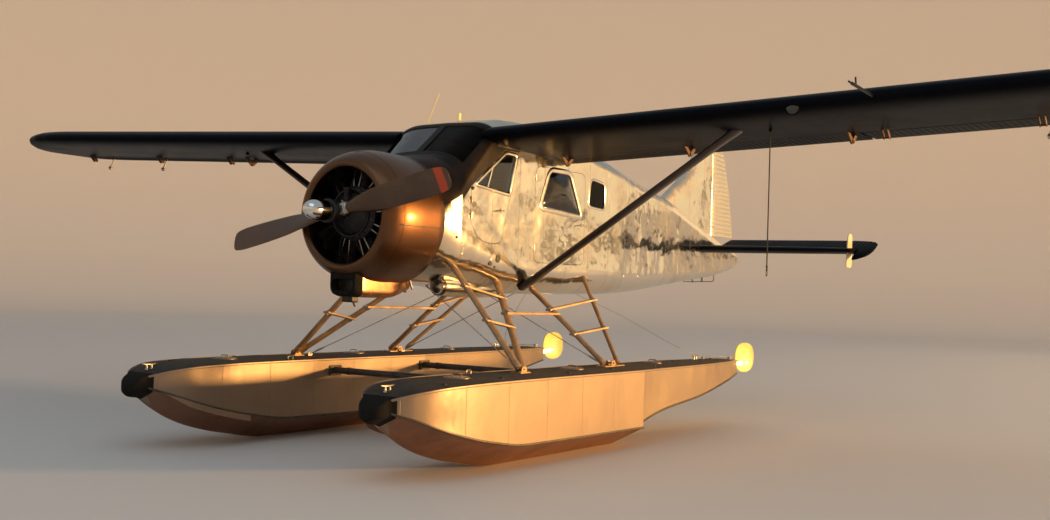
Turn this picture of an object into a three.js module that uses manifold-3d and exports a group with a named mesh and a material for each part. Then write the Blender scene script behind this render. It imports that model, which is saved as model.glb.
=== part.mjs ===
// A high-wing, single-engine bush floatplane with a radial engine, two floats and beaded control surfaces.
// Millimetres, +X to the nose, +Y to port, +Z up, origin on the ground under the middle of its box.
// A station is a distance aft of the propeller dome's tip, and a height is measured from the thrust line.
import * as THREE from "three";
import { mergeVertices } from "three/addons/utils/BufferGeometryUtils.js";
import Module from "manifold-3d";

// Driving dimensions
const NOSE_X = 4250; // row X of the dome's tip, station 0
const THRUST_Z = 2180; // thrust line above the keels
const SEAT = 0.3; // gap between pieces that touch
const WALL = 45; // cabin wall, door and roof thickness
const DOOR_GAP = 6;

const WING = { le: 1836, chord: 1588, leHeight: 812, drop: 130, dihedral: 0.042, thick: 0.135, camber: 0.035 };
const FLAP = { wingEdge: 2990, flapEdge: 2998, axis: 3050, axisDrop: 70, inner: 665, outer: 3885 };
const AILERON = { axis: 3046, lift: 35, nose: 55, gap: 8, inner: 3912, outer: 6960 };
const TAIL = { hinge: 8060, height: -30, nose: 39, up: 22, hornAt: 2235 };
const FIN = { hinge: 8240, nose: 36, base: 168 };
const FLOAT_Y = 1380;
const POST = { station: 6010, low: -1600, high: -1462, radius: 16 }; // water rudder post
const DECK = -1400; // float deck height where the struts stand
const PROP = { plane: 385, radius: 1295, rise: 0.22 };
const COWL = { height: -25, front: 470, rear: 1210 };
const CABIN = { front: 1450, rear: 4210, floor: -420, wallTop: 740 };

const X = (station) => NOSE_X - station;
const Z = (height) => THRUST_Z + height;
const at = (station, y, height) => [X(station), y, Z(height)];
const radians = THREE.MathUtils.degToRad;

// Solids: three.js makes every shape, the boolean library joins and cuts them
const wasm = await Module();
wasm.setup();

function toSolid(geometry) {
  const bare = geometry.clone();
  bare.deleteAttribute("normal");
  bare.deleteAttribute("uv");
  const merged = mergeVertices(bare, 1e-3);
  const position = merged.attributes.position;
  const corners = merged.index.array;
  const [a, b, c] = [new THREE.Vector3(), new THREE.Vector3(), new THREE.Vector3()];
  const kept = [];
  let volume = 0;
  for (let i = 0; i < corners.length; i += 3) {
    const [p, q, r] = [corners[i], corners[i + 1], corners[i + 2]];
    if (p === q || q === r || p === r) continue;
    kept.push([p, q, r]);
    a.fromBufferAttribute(position, p);
    b.fromBufferAttribute(position, q);
    c.fromBufferAttribute(position, r);
    volume += a.dot(b.cross(c));
  }
  const faces = kept.flatMap(([p, q, r]) => (volume < 0 ? [p, r, q] : [p, q, r]));
  return new wasm.Manifold(new wasm.Mesh({
    numProp: 3,
    vertProperties: new Float32Array(position.array),
    triVerts: new Uint32Array(faces),
  }));
}

function toGeometry(solid) {
  const { vertProperties, triVerts } = solid.getMesh();
  const geometry = new THREE.BufferGeometry();
  geometry.setAttribute("position", new THREE.BufferAttribute(vertProperties, 3));
  geometry.setIndex(new THREE.BufferAttribute(triVerts, 1));
  return geometry;
}

const shifted = (solid, x, y, z) => toSolid(toGeometry(solid).translate(x, y, z));
const mirrored = (solid) => toSolid(toGeometry(solid).scale(1, -1, 1));
const join = (solids) => solids.reduce((sum, solid) => sum.add(solid));
const cut = (solid, ...tools) => tools.reduce((rest, tool) => rest.subtract(tool), solid);

// A closed skin through rings of equal point counts, each end closed by a fan from its middle.
// Each four-sided patch is split along its shorter diagonal, so that left and right sides match.
function loft(rings) {
  const count = rings[0].length;
  const vertices = rings.flat();
  const span = (p, q) => Math.hypot(...vertices[p].map((value, k) => value - vertices[q][k]));
  const faces = [];
  for (let i = 0; i + 1 < rings.length; i += 1) {
    for (let j = 0; j < count; j += 1) {
      const [a, b] = [i * count + j, i * count + ((j + 1) % count)];
      const [c, d] = [b + count, a + count];
      faces.push(...(span(a, c) < span(b, d) ? [a, b, c, a, c, d] : [a, b, d, b, c, d]));
    }
  }
  const ends = [[rings[0], 0, true], [rings.at(-1), (rings.length - 1) * count, false]];
  for (const [ring, first, turned] of ends) {
    const middle = vertices.length;
    vertices.push([0, 1, 2].map((k) => ring.reduce((sum, point) => sum + point[k], 0) / count));
    for (let j = 0; j < count; j += 1) {
      const [a, b] = [first + j, first + ((j + 1) % count)];
      faces.push(middle, ...(turned ? [b, a] : [a, b]));
    }
  }
  const geometry = new THREE.BufferGeometry();
  geometry.setAttribute("position", new THREE.Float32BufferAttribute(vertices.flat(), 3));
  geometry.setIndex(faces);
  return toSolid(geometry);
}

// An outline of [station, height] points carried across the aircraft
const sidePrism = (outline, fromY, toY) =>
  loft([fromY, toY].map((y) => outline.map(([station, height]) => at(station, y, height))));
// An outline of [station, y] points carried up
const planPrism = (outline, fromHeight, toHeight) =>
  loft([fromHeight, toHeight].map((height) => outline.map(([station, y]) => at(station, y, height))));
const block = (station, y, height) => sidePrism(
  [[station[0], height[0]], [station[1], height[0]], [station[1], height[1]], [station[0], height[1]]],
  y[0], y[1]);

// Corners of an outline turned into short arcs
function rounded(outline, radius, steps = 3) {
  return outline.flatMap((corner, i) => {
    const here = new THREE.Vector2(...corner);
    const before = new THREE.Vector2(...outline.at(i - 1));
    const after = new THREE.Vector2(...outline[(i + 1) % outline.length]);
    const reach = (other) => Math.min(radius, 0.45 * here.distanceTo(other));
    const start = here.clone().add(before.sub(here).setLength(reach(before)));
    const end = here.clone().add(after.sub(here).setLength(reach(after)));
    const arc = new THREE.QuadraticBezierCurve(start, here, end);
    return arc.getPoints(steps).map((point) => [point.x, point.y]);
  });
}

// Every point of an outline moved towards the outline's middle
function shrunk(outline, distance) {
  const middle = [0, 1].map((k) => outline.reduce((sum, point) => sum + point[k], 0) / outline.length);
  return outline.map((point) => {
    const reach = Math.hypot(point[0] - middle[0], point[1] - middle[1]);
    return [0, 1].map((k) => middle[k] + (point[k] - middle[k]) * (1 - distance / reach));
  });
}

// A straight bar of oval section between two points, its chord as near to fore-and-aft as it can lie
function bar(start, end, chord, thick = chord, sides = 8) {
  const [from, to] = [new THREE.Vector3(...start), new THREE.Vector3(...end)];
  const along = to.clone().sub(from).normalize();
  const fore = new THREE.Vector3(1, 0, 0);
  if (Math.abs(along.x) > 0.98) fore.set(0, 0, 1);
  const wide = fore.addScaledVector(along, -fore.dot(along)).normalize();
  const deep = new THREE.Vector3().crossVectors(along, wide);
  return loft([from, to].map((centre) => Array.from({ length: sides }, (_, i) => {
    const turn = (2 * Math.PI * (i + 0.5)) / sides;
    return centre.clone().addScaledVector(wide, (chord / 2) * Math.cos(turn))
      .addScaledVector(deep, (thick / 2) * Math.sin(turn)).toArray();
  })));
}

// A roller across the aircraft: upright circles about two points, whose ends are fore-and-aft planes
function roller(start, end, radius, sides = 14) {
  return loft([start, end].map(([x, y, z]) => Array.from({ length: sides }, (_, i) => {
    const turn = (2 * Math.PI * (i + 0.5)) / sides;
    return [x + radius * Math.cos(turn), y, z + radius * Math.sin(turn)];
  })));
}

// A profile of [station, radius] turned about a fore-and-aft line
function turned(profile, height, segments, y = 0) {
  const points = profile.map(([station, radius]) => new THREE.Vector2(radius, station));
  const lathe = new THREE.LatheGeometry(points, segments);
  return toSolid(lathe.rotateZ(Math.PI / 2).translate(NOSE_X, y, Z(height)));
}

const colours = {
  // colour, roughness, metalness
  aluminium: [0xc9c5bc, 0.28, 1], darkMetal: [0x4a3a30, 0.35, 1], navy: [0x1b2029, 0.3, 0.6],
  black: [0x17171a, 0.7, 0], glass: [0x30363c, 0.08, 0], cloth: [0x5a5650, 0.9, 0],
  strutMetal: [0xa08a6c, 0.4, 0.9], chrome: [0xd8d8d8, 0.1, 1], pale: [0xe8e0b8, 0.5, 0],
  engineMetal: [0x6f6f70, 0.5, 0.8], rope: [0x2b2a28, 0.9, 0],
};
const model = new THREE.Group();
function place(name, solid, colour) {
  const [color, roughness, metalness] = colours[colour];
  const finish = new THREE.MeshStandardMaterial({ color, roughness, metalness });
  const mesh = new THREE.Mesh(toGeometry(solid), finish);
  mesh.name = name;
  model.add(mesh);
}
const placePair = (name, solid, colour) => {
  place(`port_${name}`, solid, colour);
  place(`starboard_${name}`, mirrored(solid), colour);
};

// Fuselage sections: flat sides between a rounded lower corner and an arched top
const SECTIONS = [
  // station, half width, bottom, corner radius, shoulder, half width of the flat top, top
  [1210, 592, -602, 576, -20, 8, 580],
  [1450, 620, -610, 450, 230, 120, 606],
  [1505, 620, -612, 420, 330, 170, 622],
  [1965, 622, -645, 320, 800, 300, 985],
  [2260, 625, -674, 290, 880, 380, 1045],
  [2600, 628, -698, 280, 885, 400, 1058],
  [3450, 632, -700, 280, 800, 380, 1000],
  [4170, 622, -690, 270, 690, 300, 905],
  [4400, 608, -688, 265, 655, 280, 868],
  [5300, 500, -648, 220, 510, 170, 728],
  [6290, 385, -560, 170, 385, 105, 598],
  [7400, 255, -462, 115, 160, 70, 342],
  [8240, 155, -385, 75, -10, 45, 146],
  [8640, 110, -322, 55, -50, 40, 60],
  [9080, 62, -238, 45, -110, 25, -45],
  [9240, 30, -185, 25, -150, 12, -115],
];

// A table's row at any value of its first column
function rowAt(table, value) {
  const next = table.findIndex((row) => row[0] >= value);
  if (next === 0) return [value, ...table[0].slice(1)];
  if (next < 0) return [value, ...table.at(-1).slice(1)];
  const [before, after] = [table[next - 1], table[next]];
  const share = (value - before[0]) / (after[0] - before[0]);
  return before.map((entry, i) => entry + share * (after[i] - entry));
}

// Rows every half pitch between two values of the first column, each second one with a bead's rise at its end
const BEAD = { pitch: 165, rise: 4 };
function beadedRows(table, from, to) {
  const count = 2 * Math.round((to - from) / BEAD.pitch);
  return Array.from({ length: count + 1 }, (_, i) =>
    [...rowAt(table, from + ((to - from) * i) / count), i % 2 ? BEAD.rise : 0]);
}

const ARC_STEPS = 4;
function hullRing([station, width, bottom, corner, shoulder, flat, top], inset, shownStation = station) {
  const half = [[0, bottom + inset]];
  const [outer, radius] = [width - inset, Math.max(corner - inset, 15)];
  for (let i = 0; i <= ARC_STEPS; i += 1) {
    const turn = radians(-90 + (90 / ARC_STEPS) * i);
    half.push([outer - radius + radius * Math.cos(turn), bottom + inset + radius + radius * Math.sin(turn)]);
  }
  const flatHalf = Math.max(flat - 0.4 * inset, 4);
  for (let i = 0; i <= ARC_STEPS; i += 1) {
    const turn = radians((90 / ARC_STEPS) * i);
    const rise = top - inset - shoulder;
    half.push([flatHalf + (outer - flatHalf) * Math.cos(turn), shoulder + rise * Math.sin(turn)]);
  }
  const ring = [...half, [0, top - inset + (flatHalf > 40 ? 6 : 2)]];
  const left = half.slice(1).reverse().map(([y, height]) => [-y, height]);
  return [...ring, ...left].map(([y, height]) => at(shownStation, y, height));
}

function hull(from, to, inset = 0, overrun = 0) {
  const rows = SECTIONS.filter(([station]) => station > from && station < to);
  const [first, last] = [rowAt(SECTIONS, from), rowAt(SECTIONS, to)];
  return loft([
    hullRing(first, inset, from - overrun), ...rows.map((row) => hullRing(row, inset)),
    hullRing(last, inset, to + overrun),
  ]);
}
const fuselage = hull(1210, 9240, -SEAT);

// Height of an airfoil's upper (side 1) or lower (side -1) surface at a share of the chord, also as a share
function surface(share, side, thick, camber) {
  const half = 5 * thick * (0.2969 * Math.sqrt(share) - 0.126 * share - 0.3516 * share ** 2
    + 0.2843 * share ** 3 - 0.1036 * share ** 4);
  const line = share < 0.4 ? (camber / 0.16) * (0.8 * share - share ** 2)
    : (camber / 0.36) * (0.2 + 0.8 * share - share ** 2);
  return line + side * half;
}

// Airfoil points from the trailing edge over the top and back under, as [share of chord, height share]
function airfoil(thick, camber, steps = 9) {
  const shares = Array.from({ length: steps + 1 }, (_, i) => 0.5 * (1 - Math.cos((Math.PI * i) / steps)));
  const top = shares.slice(1).reverse().map((share) => [share, surface(share, 1, thick, camber)]);
  return [...top, ...shares.slice(0, -1).map((share) => [share, surface(share, -1, thick, camber)])];
}

// Wings: one airfoil along the span, closing in towards a rounded tip
const WING_TIP = [
  // y, leading edge set back, trailing edge set forward, thickness share
  [540, 0, 0, 1], [6250, 0, 0, 1], [6550, 45, 0, 1], [6800, 140, 10, 0.97], [7000, 290, 30, 0.92],
  [7150, 450, 60, 0.85], [7260, 620, 120, 0.68], [7315, 820, 250, 0.4],
];
const wingHeight = (y) => WING.leHeight + WING.dihedral * y;
const chordHeight = (station, y) => wingHeight(y) - (WING.drop * (station - WING.le)) / WING.chord;
const wingLower = (station, y) => {
  const share = (station - WING.le) / WING.chord;
  return chordHeight(station, y) + WING.chord * surface(share, -1, WING.thick, WING.camber);
};
const AIRFOIL_STEPS = 9;
// A bead stands proud of the skin aft of the hinge line and fades out at the trailing edge
const beadOn = (along, i, steps, rise) => (along > 0.6 && along < 0.99 ? (i < steps ? rise : -rise) : 0);
const wingRing = ([y, back, forward, share, rise = 0]) => {
  const [le, chord] = [WING.le + back, WING.chord - back - forward];
  return airfoil(WING.thick, WING.camber, AIRFOIL_STEPS).map(([along, up], i) => {
    const station = le + along * chord;
    const bead = beadOn(along, i, AIRFOIL_STEPS, rise);
    return at(station, y, chordHeight(station, y) + up * WING.chord * share + bead);
  });
};
const wingWhole = loft(WING_TIP.map(wingRing));
const beadedWing = (from, to) => loft([
  rowAt(WING_TIP, from - 40), ...beadedRows(WING_TIP, from, to), rowAt(WING_TIP, to + 40),
].map(wingRing));

const aileronAxis = (y) => at(AILERON.axis, y, chordHeight(AILERON.axis, y) + AILERON.lift);
const aileronTool = (radius, side) => join([
  roller(aileronAxis(AILERON.inner - side), aileronAxis(AILERON.outer + side), radius),
  block([AILERON.axis, 4000], [AILERON.inner - side, AILERON.outer + side], [500, 1500]),
]);
const flapTool = (edge, side) => block([edge, 4000], [FLAP.inner - side, FLAP.outer + side], [400, 1400]);

let wing = cut(wingWhole, fuselage, flapTool(FLAP.wingEdge, 14), aileronTool(AILERON.nose + AILERON.gap, 13));
let flap = beadedWing(FLAP.inner + 20, FLAP.outer - 20).intersect(flapTool(FLAP.flapEdge, 0));
let aileron = beadedWing(AILERON.inner + 20, AILERON.outer - 60).intersect(aileronTool(AILERON.nose, 0));

// What is made square to Y, turned about a fore-and-aft line until it is square to the wing's hinge lines
const canted = (solid, y, height) => toSolid(toGeometry(solid).translate(0, -y, -Z(height))
  .rotateX(Math.atan(WING.dihedral)).translate(0, y, Z(height)));

// Flap hinges: a plate under the wing between two plates under the flap
const flapAxisHeight = (y) => wingLower(FLAP.axis, y) - FLAP.axisDrop;
const BRACKET = { half: 7, ear: 6, reach: 22 };
for (const y of [790, 2190, 3810]) {
  const [root, axis] = [wingLower(2930, y), flapAxisHeight(y)];
  const [front, back] = [FLAP.axis - BRACKET.reach, FLAP.axis + BRACKET.reach];
  const plate = sidePrism([[2860, root + 14], [2984, root + 14], [2984, root - 8], [back, axis + 24],
    [back, axis - 24], [front, axis - 30]], y - BRACKET.half, y + BRACKET.half);
  wing = wing.add(canted(plate, y, axis));
  for (const side of [-1, 1]) {
    const near = BRACKET.half + SEAT;
    const [low, high] = [y + side * near, y + side * (near + BRACKET.ear)].sort((a, b) => a - b);
    const skin = wingLower(3140, y);
    flap = flap.add(canted(sidePrism([[front, axis - 18], [back + 20, axis - 18], [3210, skin + 12],
      [3110, skin + 12], [front, axis + 20]], low, high), y, axis));
  }
}

// Aileron hinges: an arm of the wing in a slot of the aileron's nose, and a balance weight hung below
const ARM = { half: 9, thick: 16 };
for (const y of [4130, 5440, 6800]) {
  const axis = aileronAxis(y);
  const slotWidth = 2 * (AILERON.nose + AILERON.gap);
  aileron = aileron.subtract(bar(aileronAxis(y - ARM.half - SEAT), aileronAxis(y + ARM.half + SEAT),
    slotWidth, slotWidth, 14));
  const height = axis[2] - THRUST_Z;
  const arm = block([AILERON.axis - 100, AILERON.axis + 4], [y - ARM.half, y + ARM.half],
    [height - ARM.thick, height + ARM.thick]);
  const knuckle = bar(aileronAxis(y - ARM.half), aileronAxis(y + ARM.half), 34, 34, 8);
  wing = join([wing, canted(arm, y, height), knuckle]);
}
for (const y of [5490, 6560]) {
  const skin = wingLower(3150, y);
  const weight = new THREE.SphereGeometry(26, 10, 8).translate(...at(3080, y, skin - 150));
  aileron = join([aileron, bar(at(3150, y, skin + 20), at(3082, y, skin - 150), 16, 16, 8), toSolid(weight)]);
}

// A tie-down lug under each wing
const ROPE = { station: 2440, y: 3270, length: 1190, radius: 6 };
const lugFoot = wingLower(ROPE.station, ROPE.y) - 26;
const lug = [[ROPE.station - 16, ROPE.station + 16], [ROPE.y - 8, ROPE.y + 8], [lugFoot, lugFoot + 40]];
wing = wing.add(block(...lug));

// Pitot tube on the port leading edge
const pitot = join([
  bar(at(1875, 4330, wingHeight(4330) - 8), at(1560, 4330, wingHeight(4330) - 22), 22, 22, 8),
  bar(at(1620, 4330, wingHeight(4330) - 30), at(1610, 4330, wingHeight(4330) + 62), 12, 12, 8),
]);
place("port_wing", wing.add(pitot), "navy");
place("starboard_wing", mirrored(wing), "navy");
placePair("flap", flap, "navy");
placePair("aileron", aileron, "navy");

// Wing struts, from the lower fuselage corner to the underside of the wing
const wingStrut = bar(at(2620, 540, -640), at(2400, 3110, wingHeight(3110)), 150, 62, 12);
placePair("wing_strut", cut(wingStrut, fuselage, wingWhole, shifted(wingWhole, 0, 0, -SEAT)), "navy");

// Cabin: a shell split into floor, side walls and roof, with doors and glass
const rawCabin = hull(CABIN.front + SEAT, CABIN.rear);
const cabinShell = rawCabin.subtract(hull(CABIN.front, CABIN.rear, WALL, 60));
const paneShell = hull(CABIN.front, CABIN.rear, 10).subtract(hull(CABIN.front, CABIN.rear, 18, 60));
place("cabin_floor", rawCabin.intersect(block([1400, 4300], [-700, 700], [-800, CABIN.floor])), "aluminium");

const wallOutline = [
  [1449, CABIN.floor + SEAT], [4300, CABIN.floor + SEAT], [4300, 628], [3500, CABIN.wallTop],
  [1985, CABIN.wallTop], [1449, 232]];
const roofOutline = [[1449, 232 + SEAT], [1985, CABIN.wallTop + SEAT], [3500, CABIN.wallTop + SEAT],
  [4300, 628 + SEAT], [4300, 1200], [1449, 1200]];

const PILOT_DOOR = rounded(
  [[1595, 320], [1590, -20], [1730, -175], [1900, -212], [2100, -205], [2385, 718], [2140, 718]], 60);
const PILOT_WINDOW = rounded([[1665, 345], [2232, 292], [2335, 682], [2150, 682]], 35);
const CABIN_DOOR_TOP = 617; // passes under the inner flap hinge when the door opens
const CABIN_DOOR = rounded([[2700, -370], [3690, -370], [3690, CABIN_DOOR_TOP], [2700, CABIN_DOOR_TOP]], 90);
const CABIN_WINDOW = rounded([[2803, 203], [3629, 148], [3368, 586], [2978, 592]], 120);
const REAR_WINDOW = rounded([[3775, 281], [4140, 262], [4135, 540], [3822, 575]], 70);

let sideWall = cabinShell.intersect(sidePrism(wallOutline, 200, 700));
const reach = [400, 720];
const doors = [
  { name: "pilot_door", outline: PILOT_DOOR, window: PILOT_WINDOW, hinge: 1590, knuckles: [40, 190] },
  { name: "cabin_door", outline: CABIN_DOOR, window: CABIN_WINDOW, hinge: 2697, knuckles: [-220, 500] },
];
const KNUCKLE = { radius: 10, half: 30, clear: 6, y: 628 };
const upright = (station, y, low, high, radius) =>
  bar(at(station, y, low), at(station, y, high), 2 * radius, 2 * radius, 8);
for (const { name, outline, window, hinge, knuckles } of doors) {
  sideWall = sideWall.subtract(sidePrism(shrunk(outline, -DOOR_GAP), ...reach));
  let door = cut(cabinShell.intersect(sidePrism(outline, ...reach)), sidePrism(window, ...reach));
  for (const height of knuckles) {
    const [low, high] = [height - KNUCKLE.half, height + KNUCKLE.half];
    const { y, radius, clear } = KNUCKLE;
    sideWall = sideWall.subtract(upright(hinge, y, height + SEAT, high + clear, radius + clear));
    door = door.subtract(upright(hinge, y, low - clear, height, radius + clear));
    const fixed = upright(hinge, y, low, height, radius)
      .add(block([hinge - 40, hinge], [y - 26, y - 4], [low, height]));
    const moving = upright(hinge, y, height + SEAT, high, radius)
      .add(block([hinge, hinge + 44], [y - 26, y - 4], [height + SEAT, high]));
    sideWall = sideWall.add(fixed);
    door = door.add(moving);
  }
  placePair(name, door, "aluminium");
  placePair(`${name}_glass`, paneShell.intersect(sidePrism(shrunk(window, 0.6), ...reach)), "glass");
}
sideWall = sideWall.subtract(sidePrism(REAR_WINDOW, ...reach));
placePair("side_wall", sideWall, "aluminium");
placePair("rear_window", paneShell.intersect(sidePrism(shrunk(REAR_WINDOW, 0.6), ...reach)), "glass");

const PANE = [[1560, 40], [1545, 540], [1925, 560], [1925, 40]];
const pane = planPrism(PANE, 200, 1200);
const roof = cut(cabinShell.intersect(sidePrism(roofOutline, -700, 700)), pane, mirrored(pane));
const whipAntenna = bar(at(2280, -495, 995), at(2520, -510, 1405), 9, 9, 6);
const bladeAntenna = bar(at(2195, 0, 1010), at(2205, 0, 1125), 40, 10, 8);
place("cabin_roof", join([roof, whipAntenna, bladeAntenna]), "darkMetal");
placePair("windshield", paneShell.intersect(planPrism(shrunk(PANE, 0.6), 200, 1200)), "glass");

// Inside the cabin: bulkhead, instrument panel and seats
const inner = hull(CABIN.front, CABIN.rear, WALL + SEAT);
const bulkheadRoom = block([4110, 4150], [-700, 700], [CABIN.floor + SEAT, 1100]);
place("aft_bulkhead", inner.intersect(bulkheadRoom), "aluminium");
place("instrument_panel", inner.intersect(block([1640, 1700], [-700, 700], [60, 560]))
  .add(block([1640, 1700], [-90, 90], [CABIN.floor + SEAT, 80])), "black");
function seat(front, depth, halfWidth, y) {
  const floor = CABIN.floor + SEAT;
  return join([
    block([front + 60, front + depth - 40], [y - halfWidth + 40, y + halfWidth - 40], [floor, floor + 260]),
    block([front, front + depth], [y - halfWidth, y + halfWidth], [floor + 240, floor + 360]),
    sidePrism(rounded([[front + depth - 130, floor + 340], [front + depth, floor + 340],
      [front + depth + 90, floor + 900], [front + depth - 10, floor + 900]], 30), y - halfWidth, y + halfWidth),
  ]);
}
placePair("front_seat", seat(1980, 470, 230, 300), "cloth");
place("bench_seat", seat(3330, 480, 520, 0), "cloth");

// Engine, cowl and nose
const CYLINDERS = 9;
const crankcase = turned([
  [PROP.plane + 70, 0], [PROP.plane + 70, 70], [500, 95], [600, 190], [640, 250], [930, 250],
  [960, 215], [CABIN.front - 30 - SEAT, 200], [CABIN.front - 30 - SEAT, 0]], 0, 16);
const cylinders = Array.from({ length: CYLINDERS }, (_, i) => {
  const turn = (2 * Math.PI * i) / CYLINDERS;
  const out = (radius, station) => [X(station), -radius * Math.sin(turn), Z(radius * Math.cos(turn))];
  const fins = [300, 370].map((radius) => bar(out(radius, 780), out(radius + 14, 780), 206, 206, 8));
  return join([
    bar(out(200, 780), out(430, 780), 170, 170, 8), ...fins,
    bar(out(400, 780), out(520, 780), 215, 200, 8),
    bar(out(230, 655), out(500, 690), 26, 26, 4),
  ]);
});
place("engine", join([crankcase, ...cylinders]), "engineMetal");

const cowlProfile = [[500, 438], [COWL.front, 462], [COWL.front + 2, 492], [505, 530], [575, 572], [690, 604],
  [850, 618], [COWL.rear - SEAT, 612], [COWL.rear - SEAT, 585], [850, 588], [700, 574], [600, 545], [535, 500],
  [515, 460]];
const cowl = turned([...cowlProfile, cowlProfile[0]], COWL.height, 32);

const scoopRing = ([station, half, low, high]) => rounded(
  [[-half, low], [half, low], [half, high], [-half, high]], 60).map(([y, height]) => at(station, y, height));
const carbScoop = loft([
  [505, 150, -735, -470], [640, 165, -765, -480], [1000, 160, -768, -480], [1330, 120, -700, -500],
].map(scoopRing));
const carbMouth = loft([[400, 128, -712, -600], [570, 128, -712, -600]].map(scoopRing));
const cowlOutside = cowlProfile.slice(1, 8).map(([station, radius]) => [station, radius + SEAT]);
const cowlPlug = turned([[COWL.front, 0], ...cowlOutside, [COWL.rear + SEAT, 0]], COWL.height, 32);
place("cowl", cowl, "darkMetal");
place("carburettor_scoop", cut(carbScoop, carbMouth, cowlPlug, fuselage), "darkMetal");

const skirt = hull(COWL.rear, CABIN.front - SEAT).subtract(hull(COWL.rear, CABIN.front - 30, 30, 0)
  .add(hull(COWL.rear - 40, COWL.rear + 20, 30)));
place("nose_skirt", skirt, "aluminium");

const OIL = { y: 330, height: -645 };
const oilProfile = [[1475, 0], [1475, 76], [1486, 88], [1700, 98], [2300, 96], [2600, 66], [2600, 0]];
const oilScoop = turned(oilProfile, OIL.height, 16, OIL.y);
const oilMouth = turned([[1400, 0], [1400, 72], [1570, 72], [1570, 0]], OIL.height, 12, OIL.y);
place("oil_cooler_scoop", cut(oilScoop, oilMouth, shifted(fuselage, 0, 0, -SEAT)), "aluminium");

// Propeller: a polished dome and hub with two wide blades
const BLADE = [
  // radius, chord, thickness, pitch in degrees from the plane of rotation
  [60, 92, 90, 46], [170, 100, 78, 44], [330, 170, 44, 38], [600, 232, 28, 31], [900, 240, 20, 25],
  [1130, 232, 14, 21], [1240, 205, 10, 19], [1282, 160, 8, 18], [PROP.radius, 95, 7, 18],
];
const bladeRing = ([radius, chord, thick, pitch]) => Array.from({ length: 12 }, (_, i) => {
  const turn = (2 * Math.PI * i) / 12;
  const [along, across] = [(chord / 2) * Math.cos(turn), (thick / 2) * Math.sin(turn)];
  const [sin, cos] = [Math.sin(radians(pitch)), Math.cos(radians(pitch))];
  const [fore, tangent] = [along * sin - across * cos, along * cos + across * sin];
  const [rise, flat] = [Math.sin(PROP.rise), Math.cos(PROP.rise)];
  return [X(PROP.plane) + fore, radius * flat - tangent * rise, Z(radius * rise + tangent * flat)];
});
const propellerBlade = loft(BLADE.map(bladeRing));
const otherBlade = toSolid(
  toGeometry(propellerBlade).translate(0, 0, -THRUST_Z).rotateX(Math.PI).translate(0, 0, THRUST_Z));
const hubRear = PROP.plane + 70 - SEAT;
const hub = turned([
  [0, 0], [6, 34], [22, 58], [55, 78], [110, 88], [250, 90], [262, 104], [290, 112], [330, 104], [340, 92],
  [hubRear - 8, 92], [hubRear, 84], [hubRear, 0],
], 0, 24);
place("propeller", join([hub, propellerBlade, otherBlade]), "chrome");

// Tail: rear fuselage, fin and rudder, stabilizers with small end fins, elevators
const hollow = hull(CABIN.rear + SEAT, 7900, 40).add(hull(4190, 4230, 40));
const rear = hull(CABIN.rear + SEAT, 9240).subtract(hollow);
place("rear_fuselage", rear, "aluminium");

const FIN_ROWS = [
  // height, leading edge, trailing edge, greatest thickness
  [60, 6250, 9060, 116], [523, 6577, 8950, 110], [800, 7035, 8884, 104], [1075, 7470, 8780, 96],
  [1204, 7572, 8728, 90], [1304, 7655, 8684, 84], [1450, 7770, 8600, 70], [1560, 7900, 8500, 52],
  [1615, 8040, 8390, 26],
];
const TAIL_STEPS = 8;
const finRing = ([height, le, te, thick, rise = 0]) => airfoil(thick / (te - le), 0, TAIL_STEPS)
  .map(([along, side], i) =>
    at(le + along * (te - le), side * (te - le) + beadOn(along, i, TAIL_STEPS, rise), height));
const finWhole = loft(FIN_ROWS.map(finRing));
const finBeaded = loft([
  FIN_ROWS[0], ...beadedRows(FIN_ROWS, FIN.base + 30, 1540), ...FIN_ROWS.slice(-2),
].map(finRing));
const finTool = (radius, low) => bar(at(FIN.hinge, 0, low), at(FIN.hinge, 0, 1700), 2 * radius, 2 * radius, 16)
  .add(block([FIN.hinge, 9300], [-200, 200], [low, 1700]));
let fin = cut(finWhole, fuselage, finTool(FIN.nose + 8, -100));
let rudder = finBeaded.intersect(finTool(FIN.nose, FIN.base));
for (const height of [300, 850, 1350]) {
  const slotHalf = ARM.half + SEAT;
  rudder = rudder.subtract(upright(FIN.hinge, 0, height - slotHalf, height + slotHalf, FIN.nose + 8));
  fin = join([fin, block([FIN.hinge - 90, FIN.hinge], [-8, 8], [height - ARM.half, height + ARM.half]),
    upright(FIN.hinge, 0, height - ARM.half, height + ARM.half, 15)]);
}
place("fin", fin, "aluminium");
place("rudder", rudder, "aluminium");

const TAIL_ROWS = [
  // y, leading edge, trailing edge, greatest thickness
  [60, 7400, 8480, 104], [1500, 7600, 8480, 92], [2050, 7690, 8476, 80], [2230, 7745, 8460, 72],
  [2340, 7830, 8420, 58], [2400, 7950, 8340, 38], [2415, 8040, 8260, 20],
];
const tailRing = ([y, le, te, thick, rise = 0]) => airfoil(thick / (te - le), 0, TAIL_STEPS)
  .map(([along, up], i) =>
    at(le + along * (te - le), y, TAIL.height + up * (te - le) + beadOn(along, i, TAIL_STEPS, rise)));
const tailWhole = loft(TAIL_ROWS.map(tailRing));
const tailBeaded = loft([
  TAIL_ROWS[0], ...beadedRows(TAIL_ROWS, 280, TAIL.hornAt - 25), ...TAIL_ROWS.slice(4),
].map(tailRing));
const tailAxis = (y) => at(TAIL.hinge, y, TAIL.height);
const tailTool = (radius, inner, horn) => join([
  roller(tailAxis(inner), tailAxis(2500), radius),
  block([TAIL.hinge, 8700], [inner, 2500], [-400, 400]),
  block([7500, 8700], [horn, 2500], [-400, 400]),
]);
let stabilizer = cut(tailWhole, fuselage, tailTool(TAIL.nose + 8, 100, TAIL.hornAt - 10));
let elevator = tailBeaded.intersect(tailTool(TAIL.nose, 250, TAIL.hornAt));
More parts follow.
